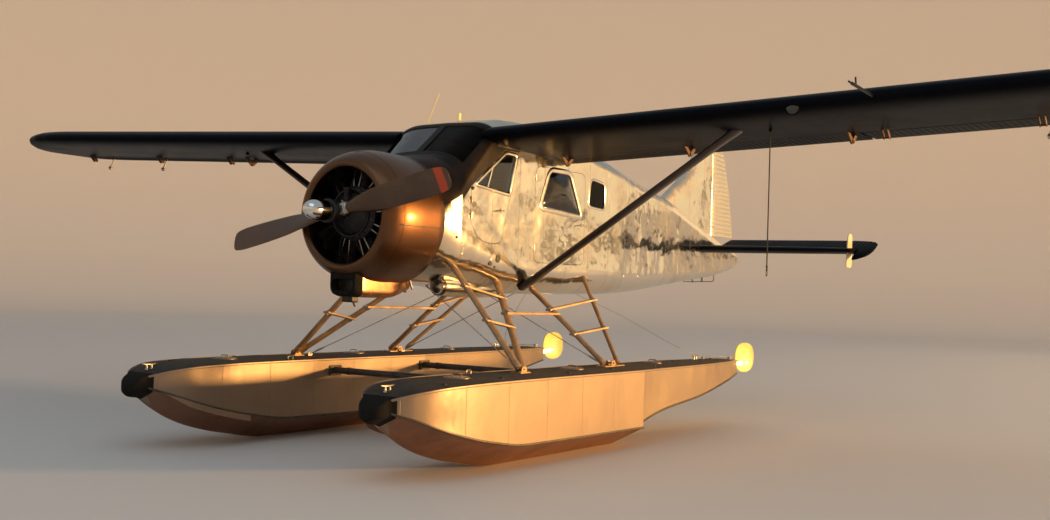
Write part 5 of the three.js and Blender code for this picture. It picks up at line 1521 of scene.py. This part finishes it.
def board(first, second, over, wide=0.068, deep=0.022):
    """A step board between two points, carried past both of them, with rounded edges."""
    way = (second - first) / np.linalg.norm(second - first)
    start, end = first - over * way, second + over * way
    w, d = wide / 2, deep / 2
    section = rounded([(w, d), (w, -d), (-w, -d), (-w, d)], 0.006, 4)
    line = start + np.array([0, 0.004, 0.5, 0.996, 1])[:, None] * (end - start)
    return carried(line, section, fore=np.cross(way, (0, 0, 1)), scale=[0.93, 1, 1, 1, 0.93])


def board_bolts(first, second, over):
    """Bolt heads on the ends of a board."""
    way = (second - first) / np.linalg.norm(second - first)
    return [rod(point + (0, 0, -0.024), point + (0, 0, 0.022), 0.010, 8)
            for point in (first - 0.6 * over * way, second + 0.6 * over * way)]


for name, (one, two, shares) in VEES.items():
    ends = [(strut_at(one, share), strut_at(two, share)) for share in shares]
    boards = [board(*pair_of_ends, OVERHANG) for pair_of_ends in ends]
    bolt_heads = [bolt for pair_of_ends in ends for bolt in board_bolts(*pair_of_ends, OVERHANG)]
    sleeves = [cuff(member, share - 0.012, share + 0.012) for member in (one, two) for share in shares]
    cuffs = [cuff(member, low, high, 0.004) for low, high in ((0.02, 0.085), (0.93, 0.985)) for member in (one, two)]
    pair(f"{name}_float_struts", merged(strut(one), strut(two), *cuffs), "strut", replaces=True)
    pair(f"{name}_step_boards", merged(*boards), "board")
    pair(f"{name}_board_clamps", merged(*sleeves, *bolt_heads), "steel")
bridge_ends = strut_at("b", 0.40), strut_at("c", 0.36)
bridge_cuffs = cuff("b", 0.388, 0.412), cuff("c", 0.348, 0.372)
pair("bridge_board", board(*bridge_ends, 0.030, 0.080, 0.026), "board")
pair("bridge_clamps", merged(*bridge_cuffs, *board_bolts(*bridge_ends, 0.03)), "steel")

# %% Feet on the deck and fittings on the fuselage
def fork(station, length):
    """A base plate on the deck, two upright lugs and a cross bolt."""
    base, half = deck_top(station), length / 2
    plate = rounded(corners((station - half, station + half), (FLOAT_Y - 0.06, FLOAT_Y + 0.06)), 0.03)
    lug = rounded([(station - 0.05, base), (station + 0.05, base), (station + 0.03, FOOT_Z + 0.03),
                   (station - 0.03, FOOT_Z + 0.03)], 0.018)
    lugs = [slab(lug, FLOAT_Y + low, FLOAT_Y + low + 0.010) for low in (-0.036, 0.026)]
    bolt = rod(*(spot(station, FLOAT_Y + aside, FOOT_Z + 0.004) for aside in (-0.045, 0.045)), 0.010, 8)
    head = [(base + 0.009, 0.010), (base + 0.018, 0.010), (base + 0.019, 0.007)]
    heads = [upright(head, station + side * (half - 0.028), FLOAT_Y + aside, circle(6))
             for side in (1, -1) for aside in (-0.035, 0.035)]
    return merged(slab(plate, base - 0.006, base + 0.010, "height"), *lugs, bolt, *heads)


pair("strut_feet", merged(fork(FEET["front"], 0.190), fork(3.030, 0.420)), "strut")
top_pins = [rod(*(spot(station + aft, y, height - 0.02) for aft in (-0.06, 0.06)), 0.013, 10, fore=(0, 1, 0))
            for station, y, height in TOPS.values()]
pair("strut_top_pins", merged(*top_pins), "steel")

# %% Spreader bars
SPREADER_Z = -1.530
for name, station in (("front", 1.560), ("rear", 3.030)):
    float_half = float(next(float_sizes([station]))[0, 0])
    share = np.linspace(-1, 1, 30)
    flare = 1 + 0.10 * np.exp(-((1 - np.abs(share)) / 0.03) ** 2)
    line = spot(station, share * (FLOAT_Y - float_half + 0.010), SPREADER_Z)
    parts = [carried(line, streamline(0.096, 0.064, 28), scale=flare)]
    for side in (1, -1):
        face = side * (FLOAT_Y - float_half)
        outline = rounded(corners((station - 0.09, station + 0.09), (-1.585, -1.478)), 0.02)
        parts.append(slab(outline, *sorted((face - side * 0.010, face + side * 0.004))))
        parts += [disc(station + ds, height, 0.008, *sorted((face - side * 0.018, face - side * 0.008)), 8)
                  for ds in (-0.07, 0.07) for height in (-1.567, -1.497)]
    parts += [carried(spot(station, np.array([y - 0.02, y + 0.02]), SPREADER_Z), streamline(0.108, 0.076, 28))
              for y in (-0.80, 0.80)]
    piece(f"{name}_spreader_bar_skin", merged(*parts), "spreader", replaces=[f"{name}_spreader_bar"])

# %% [markdown]
# Two crossed wires in front and two behind keep the struts square. Each ends in a fork, with a turnbuckle near
# its foot that sets its tension. A thin cable runs from the fuselage to each water rudder.

# %% Bracing wires and rudder cables
BRACING = {"front": (1.500, (1.960, -0.180, -0.640)), "rear": (3.010, (3.000, -0.330, -0.640))}
for name, (foot_station, top) in BRACING.items():
    parts = []
    for side in (1, -1):
        foot, head_point = spot(foot_station, side * 1.290, -1.380), spot(top[0], side * top[1], top[2])
        reach = np.linalg.norm(head_point - foot)
        way = (head_point - foot) / reach
        parts.append(tube([foot, head_point], 0.0045, 10))
        for start, size in ((0.05, 0.0095), (reach - 0.12, 0.0085)):
            spots = [foot + way * (start + d) for d in (0.0, 0.02, 0.03, 0.11, 0.12, 0.14)]
            parts.append(carried(spots, circle(10, size), scale=[0.5, 0.7, 1, 1, 0.7, 0.5]))
        parts.append(box((foot_station - 0.03, foot_station + 0.03), sorted((side * 1.284, side * 1.296)),
                         (deck_top(foot_station, 0.09) - 0.004, -1.366)))
    piece(f"{name}_bracing_wires", merged(*parts), "steel", replaces=[f"{name}_bracing"])
cable = trail(smooth([(4.02, 0.30, -0.672), (4.45, 0.75, -0.940), (4.85, 1.150, -1.230), (5.22, 1.372, -1.380)], 6))
deck_rod = trail(smooth([(5.22, 1.372, -1.380), (5.60, 1.380, -1.386), (5.93, 1.392, -1.396)], 5))
pulley_cheeks = [box((5.20, 5.24), y, (-1.43, -1.376)) for y in ((1.361, 1.366), (1.378, 1.383))]
rod_end = box((5.90, 5.95), (1.372, 1.404), (-1.44, -1.384))
pair("water_rudder_cable", merged(tube(cable, 0.0022, 8), tube(deck_rod, 0.0070, 8)), "steel")
pair("cable_pulley", merged(disc(5.22, -1.388, 0.024, 1.366, 1.378), *pulley_cheeks, rod_end), "steel")

# %% [markdown]
# ## Water rudders
# A pale plate hinged on a post at each stern. It steers with the post, and swings up out of the water: that is
# how it stands here. The plate has two pressed ribs and a rolled edge.

# %% Posts and blades
POST, LIFT, PIVOT = 6.010, -1.486, 6.070
HELD_OVER = np.radians(-16)


def held_over(name, shape, material, body, replaces=True):
    """A shape drawn on the port post, turned about it as the rudders stand, and its copy turned the same way."""
    for side, y in (("port", FLOAT_Y), ("starboard", -FLOAT_Y)):
        full = f"{side}_{name}"
        copy = rotated(shape, HELD_OVER, 2, (NOSE_X - POST, FLOAT_Y, 0), (NOSE_X - POST, y, 0))
        piece(full + "_skin", copy, material, f"{side}_{body}", replaces=[full] if replaces else ())


def across_post(outline, half, corner=0.008):
    """A rounded plate on the middle of the port float, as thick as twice the half."""
    return slab(rounded(outline, corner), FLOAT_Y - half, FLOAT_Y + half)


post = rod(spot(POST, FLOAT_Y, -1.600), spot(POST, FLOAT_Y, -1.462), 0.016, 24)
tongue = across_post([(POST - 0.010, -1.510), (PIVOT + 0.010, -1.510), (PIVOT + 0.017, -1.486),
                      (PIVOT + 0.010, -1.462), (POST - 0.010, -1.462)], 0.005)
tiller = rounded([(POST + ds, FLOAT_Y + dy) for ds, dy in (
    (-0.018, -0.075), (0.018, -0.075), (0.022, 0), (0.018, 0.075), (-0.018, 0.075), (-0.022, 0))], 0.008)
tiller = slab(tiller, -1.4622, -1.456, "height")
held_over("water_rudder_post", merged(post, tongue, tiller), "steel", "water_rudder_post")
gudgeon = rounded(corners((POST - 0.105, POST + 0.020), (FLOAT_Y - 0.020, FLOAT_Y + 0.020)), 0.012)
gudgeons = [slab(gudgeon, low, high, "height") for low, high in ((-1.620, -1.6003), (-1.4617, -1.442))]
pair("water_rudder_gudgeons", merged(*gudgeons), "steel")
turn = angles(48)
squircle = np.stack([np.sign(wave) * np.abs(wave) ** 0.82 for wave in (np.cos(turn), np.sin(turn))], -1)


def plate_ring(scale, y):
    outline = (POST + 0.235, -1.408) + squircle * 0.178 * scale
    return spot(outline[:, 0], y, outline[:, 1])


plate_edge = [(0.02, 0.0035), (0.90, 0.0035), (0.93, 0.0065), (0.97, 0.0085), (1.0, 0.005)]
plate = loft([plate_ring(s, FLOAT_Y + y) for s, y in [*plate_edge, *((s, -y) for s, y in plate_edge[::-1])]])
rib_stations = POST + np.linspace(0.12, 0.36, 12)
rib_shape = rounded([(0.012, 0.0), (0.0, 0.0075), (-0.012, 0.0), (0.0, -0.0075)], 0.006, 4)
rib_size = np.clip(2.2 * np.sin(np.linspace(0.1, np.pi - 0.1, 12)), 0, 1)
ribs = [carried(spot(rib_stations, FLOAT_Y, height), rib_shape, fore=(0, 0, 1), scale=rib_size)
        for height in (-1.33, -1.45)]
cheek = rounded([(POST + 0.038, LIFT - 0.022), (POST + 0.195, LIFT - 0.022), (POST + 0.195, LIFT + 0.042),
                 (POST + 0.038, LIFT + 0.022)], 0.016)
cheeks = [slab(cheek, FLOAT_Y + low, FLOAT_Y + low + 0.004) for low in (-0.0143, 0.0103)]
cheek_bolts = [disc(station, LIFT + 0.004, 0.009, FLOAT_Y - 0.021, FLOAT_Y + 0.021, 8)
               for station in (PIVOT, POST + 0.120, POST + 0.175)]
filler = across_post([(POST + 0.105, LIFT - 0.018), (POST + 0.191, LIFT - 0.018), (POST + 0.191, LIFT + 0.036),
                      (POST + 0.105, LIFT + 0.022)], 0.0103, 0.01)
held_over("water_rudder_blade", merged(plate, *ribs, filler), "pale", "water_rudder_blade")
held_over("water_rudder_cheeks", merged(*cheeks, *cheek_bolts), "steel", "water_rudder_blade", replaces=False)
print("struts, wires and water rudders made")

# %% [markdown]
# ## The tie-down rope
# A dark rope hangs straight down from the lug under the port wing, to a hook that would take a ring on shore.
# It is a free cord with its own length, and its route is the one in the solid model. Three strands show as
# It has its own length, and its route is the one in the solid model. Three strands show as
# a shallow groove that winds round it.

# %% Rope and hook
ROPE_LENGTH, ROPE_RADIUS, ROPE_LAY = 1.190, 0.006, 0.055
rope_low, rope_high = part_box("tie_down_rope")
rope_exit = np.array([(rope_low.x + rope_high.x) / 2, (rope_low.y + rope_high.y) / 2, rope_high.z])
rope_line = rope_exit - np.linspace(0, 1, 131)[:, None] * (0, 0, ROPE_LENGTH)
turn = angles(18)
flat_ring = np.stack([np.cos(turn), np.sin(turn), 0 * turn], -1)
wound = 2 * np.pi * (rope_exit[2] - rope_line[:, 2:]) / ROPE_LAY
bulge = 1 - 0.14 * np.abs(np.cos(1.5 * (turn[None] + wound)))
rope_rings = rope_line[:, None] + ROPE_RADIUS * bulge[..., None] * flat_ring
rope = piece("tie_down_rope_strands", loft(rope_rings), "rope", replaces=["tie_down_rope"])
hook_x, hook_y, hook_top = rope_line[-1] - (0, 0, 0.0004)
swivel = loft(np.array([[hook_x, hook_y, hook_top + dz] + size * flat_ring for dz, size in (
    (0.0, 0.006), (-0.002, 0.0095), (-0.018, 0.0095), (-0.022, 0.007), (-0.030, 0.007), (-0.034, 0.0095),
    (-0.044, 0.0095), (-0.047, 0.005))]))
bow = smooth([(0.0, -0.043), (0.011, -0.052), (0.013, -0.075), (0.006, -0.094), (-0.006, -0.094), (-0.013, -0.075),
              (-0.011, -0.052)], 5, closed=True)
bow_path = np.stack([hook_x + bow[:, 0], hook_y + 0 * bow[:, 0], hook_top + bow[:, 1]], -1)
along_bow = np.roll(bow_path, -1, 0) - np.roll(bow_path, 1, 0)
out_way = np.cross(along_bow / np.linalg.norm(along_bow, axis=1, keepdims=True), (0, 1, 0))[:, None]
ring = circle(10, 0.0038)[None]
snap = loft(bow_path[:, None] + ring[..., :1] * out_way + ring[..., 1:] * np.array([0, 1, 0]), closed=True)
hook = piece("tie_down_snap_hook", merged(swivel, snap), "black", replaces=["tie_down_hook"])
print("rope from", rope_exit.round(3), "to", rope_line[-1].round(3))

# %% [markdown]
# ## The cabin
# Seats, a bench, the instrument panel and the control column show through the windows. A cushion is a crowned
# form: its thickness follows the distance from its edge, and sewn channels press into it.

# %% Cushions
def cushion(outline, middle, length_way, width_way, up_way, thick, channels, levels=9):
    """Rings that shrink from the seam to the middle, over the top and under: height is the root of what is left."""
    inwards = np.linspace(0.02, 0.9, levels)
    share = np.concatenate([inwards, [0.96, 0.99, 1.0, 0.99, 0.96], inwards[::-1]])
    side = np.concatenate([np.ones(levels + 2), [0], -np.ones(levels + 2)])
    height = (side * 0.5 * thick * np.sqrt(np.clip(1 - share**3.4, 0, 1)))[:, None]
    flat = share[:, None, None] * outline[None]
    lift = height + 0 * flat[..., 0]
    for channel in channels:
        pressed = 0.010 * np.exp(-((flat[..., 0] - channel) / 0.008) ** 2)
        lift = lift - np.sign(height) * pressed * (np.abs(height) / (0.5 * thick))
    return loft(np.asarray(middle) + flat[..., :1] * np.asarray(length_way) + flat[..., 1:] * np.asarray(width_way)
                + lift[..., None] * np.asarray(up_way))


def pad_outline(half_length, half_width, corner, steps=4):
    """A rounded rectangle with more points along its straight runs, by plain interpolation."""
    outline = rounded([(half_length, half_width), (half_length, -half_width), (-half_length, -half_width),
                       (-half_length, half_width)], corner)
    t = np.linspace(0, 1, steps, endpoint=False)[None, :, None]
    return (outline[:, None] * (1 - t) + np.roll(outline, -1, 0)[:, None] * t).reshape(-1, 2)


def seat(name, node, front, depth, half_width, y):
    """A seat: a cushion, a back that leans aft, and a tube frame."""
    base = FLOOR + SEAT
    pad = cushion(pad_outline(depth / 2, half_width - 0.005, 0.07), spot(front + depth / 2, y, base + 0.300),
                  (-1, 0, 0), (0, 1, 0), (0, 0, 1), 0.125, (-0.11, 0.0, 0.11))
    lean = np.array([-0.09, 0, 0.56]) / np.hypot(0.09, 0.56)
    back = cushion(pad_outline(0.270, half_width - 0.01, 0.08), spot(front + depth - 0.030, y, base + 0.62), lean,
                   (0, 1, 0), np.cross(lean, (0, 1, 0)), 0.095, (-0.14, 0.0, 0.14))
    frame_parts = []
    for side in (1, -1):
        rail = y + side * (half_width - 0.05)
        bend = trail([(front + along, rail, base + up) for along, up in (
            (0.06, 0.02), (0.07, 0.22), (0.10, 0.245), (depth - 0.09, 0.245), (depth - 0.05, 0.02))])
        foot = box((front + 0.02, front + depth - 0.02), sorted((rail - 0.018, rail + 0.018)), (base, base + 0.02))
        frame_parts += [tube(bend, 0.011, 10), foot]
    piece(f"{name}_cushion", pad, "cloth", replaces=[node])
    piece(f"{name}_back", back, "cloth")
    piece(f"{name}_frame", merged(*frame_parts), "black")


seat("port_front_seat", "port_front_seat", 1.980, 0.470, 0.230, 0.300)
seat("starboard_front_seat", "starboard_front_seat", 1.980, 0.470, 0.230, -0.300)
seat("bench", "bench_seat", 3.330, 0.480, 0.520, 0.0)

# %% Instrument panel, column and bulkhead
def inside_cabin(station, height):
    """The part of the cabin's inside between two stations and two heights."""
    return combined(cabin_inside, within(box(station, (-0.7, 0.7), height)))


cabin_inside = hull(*CABIN, inset=WALL + SEAT)
pedestal = box((1.640, 1.700), (-0.09, 0.09), (FLOOR + SEAT, 0.0597))
piece("instrument_panel_body", merged(inside_cabin((1.640, 1.700), (0.060, 0.560)), pedestal), "black",
      replaces=["instrument_panel"], crease=40)
BEZEL = [(1.699, 0.044), (1.706, 0.046), (1.708, 0.043), (1.704, 0.038), (1.699, 0.038)]
FACE = [(1.699, 0.0), (1.699, 0.038), (1.7015, 0.038), (1.7015, 0.0)]
DIAL_ROWS = [(0.39, np.linspace(-0.36, 0.36, 7)), (0.26, np.linspace(-0.40, 0.40, 8)), (0.14, (-0.3, -0.2, 0.2, 0.3))]
bezels, dial_faces = [], []
for dial_z, row in DIAL_ROWS:
    for dial_y in row:
        bezels.append(turned(BEZEL, dial_z, dial_y, 28, closed=True))
        needle = box((1.7013, 1.703), (dial_y - 0.0015, dial_y + 0.0015), (dial_z - 0.006, dial_z + 0.028))
        dial_faces += [turned(FACE, dial_z, dial_y, 28), needle]
piece("dial_bezels", merged(*bezels), "steel")
piece("dial_faces", merged(*dial_faces), "dial")
WHEEL = 1.83
column_line = [(1.92, 0.0, FLOOR + 0.002), (1.90, 0.0, -0.15), (1.84, 0.02, 0.08), (WHEEL, 0.16, 0.20),
               (WHEEL, 0.30, 0.235)]
column = tube(smooth(trail(column_line), 6), 0.017, 14)
turn = np.linspace(0.25 * np.pi, 2.75 * np.pi, 40)[:-3]
wheel = tube(spot(WHEEL, 0.30 + 0.13 * np.sin(turn), 0.235 + 0.11 * np.cos(turn)), 0.010, 10)
spokes = [rod(spot(WHEEL, 0.18, 0.20), spot(WHEEL, 0.42, 0.20), 0.008),
          rod(spot(WHEEL, 0.30, 0.235), spot(WHEEL, 0.30, 0.13), 0.008)]
KNOB = [(1.785, 0.0), (1.787, 0.012), (1.800, 0.014), (1.808, 0.0)]
levers = [shape for y in (-0.06, -0.02, 0.02, 0.06) for shape in (
    rod(spot(1.70, y, 0.47), spot(1.79, y, 0.545), 0.004), turned(KNOB, 0.548, y, 16))]
piece("control_column", merged(column, wheel, *spokes, *levers), "black")
piece("aft_bulkhead_panel", inside_cabin((4.110, 4.150), (FLOOR + SEAT, 1.1)), "liner", replaces=["aft_bulkhead"])
piece("cabin_floor_mat", inside_cabin((1.75, 4.10), (FLOOR + 0.0004, FLOOR + 0.006)), "liner")
print("cabin furnished")

# %% [markdown]
# ## Small things on the fuselage
# Hinge knuckles, handles, filler caps, access plates and the drains under the nose are small, but they give
# the polished side its scale.

# %% Knuckles and handles
KNUCKLE_RADIUS, KNUCKLE_HALF, KNUCKLE_Y = 0.010, 0.030, 0.628
for name, hinge, heights in (("pilot_door", 1.590, (0.040, 0.190)), ("cabin_door", 2.697, (-0.220, 0.500))):
    for part, body, leaf in (("fixed", None, (hinge - 0.04, hinge)), ("moving", name, (hinge, hinge + 0.044))):
        knuckles = []
        for height in heights:
            span = (height + SEAT, height + KNUCKLE_HALF) if body else (height - KNUCKLE_HALF, height)
            knuckles += [upright([(end, KNUCKLE_RADIUS) for end in span], hinge, KNUCKLE_Y),
                         box(leaf, (0.602, 0.624), span)]
        pair(f"{name}_{part}_knuckles", merged(*knuckles), "steel", body=body)


def hull_y(station, height):
    """Half width of the hull at any station and height on its side."""
    ring = hull_rings([station])[0]
    half_ring = ring[1:len(ring) // 2 + 1]
    return float(np.interp(height, half_ring[:, 2] - THRUST_Z, half_ring[:, 1]))


def lever_handle(station, height, length=0.11):
    y = side_at(station)
    rose = disc(station, height, 0.022, y - 0.002, y + 0.008)
    line = smooth([(station, y + 0.006, height), (station, y + 0.026, height), (station - 0.02, y + 0.032, height),
                   (station - length, y + 0.030, height - 0.012)], 5)
    grip = carried(trail(line), circle(12, 0.0075), fore=(0, 0, 1), scale=np.linspace(1.1, 0.8, len(line)))
    return merged(rose, grip)


pair("pilot_door_handle", lever_handle(2.105, 0.115), "steel", body="pilot_door")
pair("cabin_door_handle", lever_handle(3.635, 0.060), "steel", body="cabin_door")

# %% Caps, plates, vents and drains
def button(station, height, radius, proud=0.006):
    """A low round cap on the side of the hull."""
    y, turn = hull_y(station, height), angles(28)
    levels = [(1.0, -0.012), (1.0, proud * 0.6), (0.85, proud), (0.80, proud * 0.7), (0.02, proud * 0.8)]
    return loft([spot(station + share * radius * np.cos(turn), y + out, height + share * radius * np.sin(turn))
                 for share, out in levels])


pair("filler_caps", merged(button(2.066, -0.360, 0.036), button(1.953, -0.405, 0.024), button(2.035, -0.440, 0.012)),
     "black")
pair("window_latch", merged(button(1.612, 0.300, 0.017, 0.012), button(1.395, -0.178, 0.014)), "black")
pressings = []
for start, end, height in ((2.86, 3.42, -0.030), (2.86, 3.36, -0.140)):
    stations = np.linspace(start, end, 14)
    pressings.append(carried(spot(stations, side_at(stations), height),
                             [(-0.012, -0.002), (0.012, -0.002), (0.006, 0.004), (-0.006, 0.004)], fore=(0, 0, 1),
                             scale=np.clip(3 * np.sin(np.linspace(0.05, np.pi - 0.05, 14)), 0.1, 1)))
pair("door_pressings", merged(*pressings), "skin", body="cabin_door")
DRAINS = [(1.245, 0.10, 0.11, 0.016), (1.270, 0.16, 0.08, 0.011), (1.300, -0.12, 0.13, 0.020)]
drains = []
for station, y, length, radius in DRAINS:
    line = [(station, y, -0.58), (station + 0.02, y, -0.63), (station + 0.05, y, -0.60 - length)]
    drains.append(tube(trail(line), radius, 16))
piece("nose_drains", merged(*drains), "steel")
guard = trail(smooth([(7.44, 0, -0.440), (7.46, 0, -0.486), (7.60, 0, -0.492), (8.05, 0, -0.480), (8.40, 0, -0.468),
                      (8.43, 0, -0.40), (8.44, 0, -0.355)], 5))
guard_lugs = [box((8.02, 8.06), (-0.004, 0.004), (-0.49, -0.39)), box((7.72, 7.75), (-0.004, 0.004), (-0.50, -0.42))]
piece("tail_cable_guard", merged(tube(guard, 0.006, 10), *guard_lugs), "black")
print("details made")

# %% [markdown]
# ## Floor, light and finish
# The aircraft stands on a plain pale floor under soft studio light. One large warm lamp stands low on the port
# side, like the sun of a late afternoon, so the polished sheet has something bright and something dark to show.

# %% Floor
def floor_sheet(reach=46.0, wall=16.0, curve=9.0):
    """A floor that curves up into a backdrop far from the object: a disc whose rim rises in a quarter circle."""
    turn, around = np.linspace(0, np.pi / 2, 10), angles(96)
    radius = np.concatenate([[0.01, 6, 14, 24], reach - curve + curve * np.sin(turn), [reach]])[:, None]
    height = np.concatenate([[0, 0, 0, 0], curve - curve * np.cos(turn), [wall]])[:, None]
    rings = np.stack([radius * np.cos(around), radius * np.sin(around), height + 0 * around], -1)
    points, faces = loft(rings, ends=False)
    return points, [group[:, ::-1] for group in faces]


def staged(name, shape, roughness, colour):
    """A plain matt thing of the stage, which is not part of the object."""
    made = new_object(name, shape)
    material, _, shader, _ = new_material(name, 0.0, roughness)
    shader.inputs["Base Color"].default_value = (*colour, 1)
    made.data.materials.append(material)
    return made


staged("studio_floor", floor_sheet(), 0.7, (0.78, 0.76, 0.73)).data.shade_smooth()

# %% Lamps and sky
def lamp(name, at, aim, size, power, colour):
    data = bpy.data.lights.new(name, "AREA")
    data.shape, data.size, data.size_y = "RECTANGLE", *size
    data.energy, data.color = power, colour
    made = bpy.data.objects.new(name, data)
    made.location = at
    made.rotation_euler = (Vector(aim) - Vector(at)).to_track_quat("-Z", "Y").to_euler()
    bpy.context.scene.collection.objects.link(made)


def card(name, middle, facing, width, height, tone):
    """A large matt card that the polished sheet reflects, hidden from the camera and from diffuse light."""
    turn = np.radians(facing)
    sideways = np.array([-np.sin(turn), np.cos(turn), 0]) * width / 2
    places = [middle + x * sideways + (0, 0, z * height / 2) for x, z in ((-1, -1), (1, -1), (1, 1), (-1, 1))]
    made = staged(name, (np.array(places), [np.array([[0, 1, 2, 3]])]), 0.9, tone)
    made.visible_camera = made.visible_diffuse = made.visible_shadow = False


def around(azimuth, distance, height):
    """A place seen from the middle of the floor, its azimuth in degrees from ahead towards port."""
    return distance * np.cos(np.radians(azimuth)), distance * np.sin(np.radians(azimuth)), height


lamp("low_sun", around(119, 38, 3.3), (0.0, 0.0, 1.6), (5.0, 1.7), 33000, (1.0, 0.53, 0.17))
lamp("sky_fill", (10.0, 4.0, 12.0), (0.0, 0.0, 1.5), (12.0, 9.0), 250, (0.78, 0.90, 1.0))
lamp("horizon_glow", around(141, 27, 4.3), (0.0, 0.0, 2.4), (24.0, 7.0), 350, (1.0, 0.74, 0.38))
lamp("tail_glow", around(176, 27, 6.6), (0.0, 0.0, 2.4), (8.0, 4.0), 70, (1.0, 0.74, 0.38))
CARD_TONE = (0.20, 0.12, 0.06)
CARDS = [
    # azimuth, distance, width, foot, top
    (167.0, 24.0, 6.0, 2.72, 3.20), (163.8, 24.6, 1.3, 3.90, 4.90), (150.0, 23.5, 5.0, 2.30, 3.10),
    (143.3, 23.0, 0.8, 3.60, 4.40), (136.0, 22.5, 3.5, 2.10, 3.10),
]
for number, (azimuth, distance, width, foot, top) in enumerate(CARDS):
    place = around(azimuth, distance, (foot + top) / 2)
    card(f"reflector_card_{number}", place, azimuth, width, top - foot, CARD_TONE)
world = bpy.data.worlds.new("studio_sky")
bpy.context.scene.world = world
world.use_nodes = True
world.node_tree.nodes["Background"].inputs["Color"].default_value = (0.72, 0.80, 0.86, 1)
world.node_tree.nodes["Background"].inputs["Strength"].default_value = 0.50
bpy.context.scene.view_settings.view_transform = "Standard"
bpy.context.scene.view_settings.look = "None"
bpy.context.scene.view_settings.exposure = -0.45
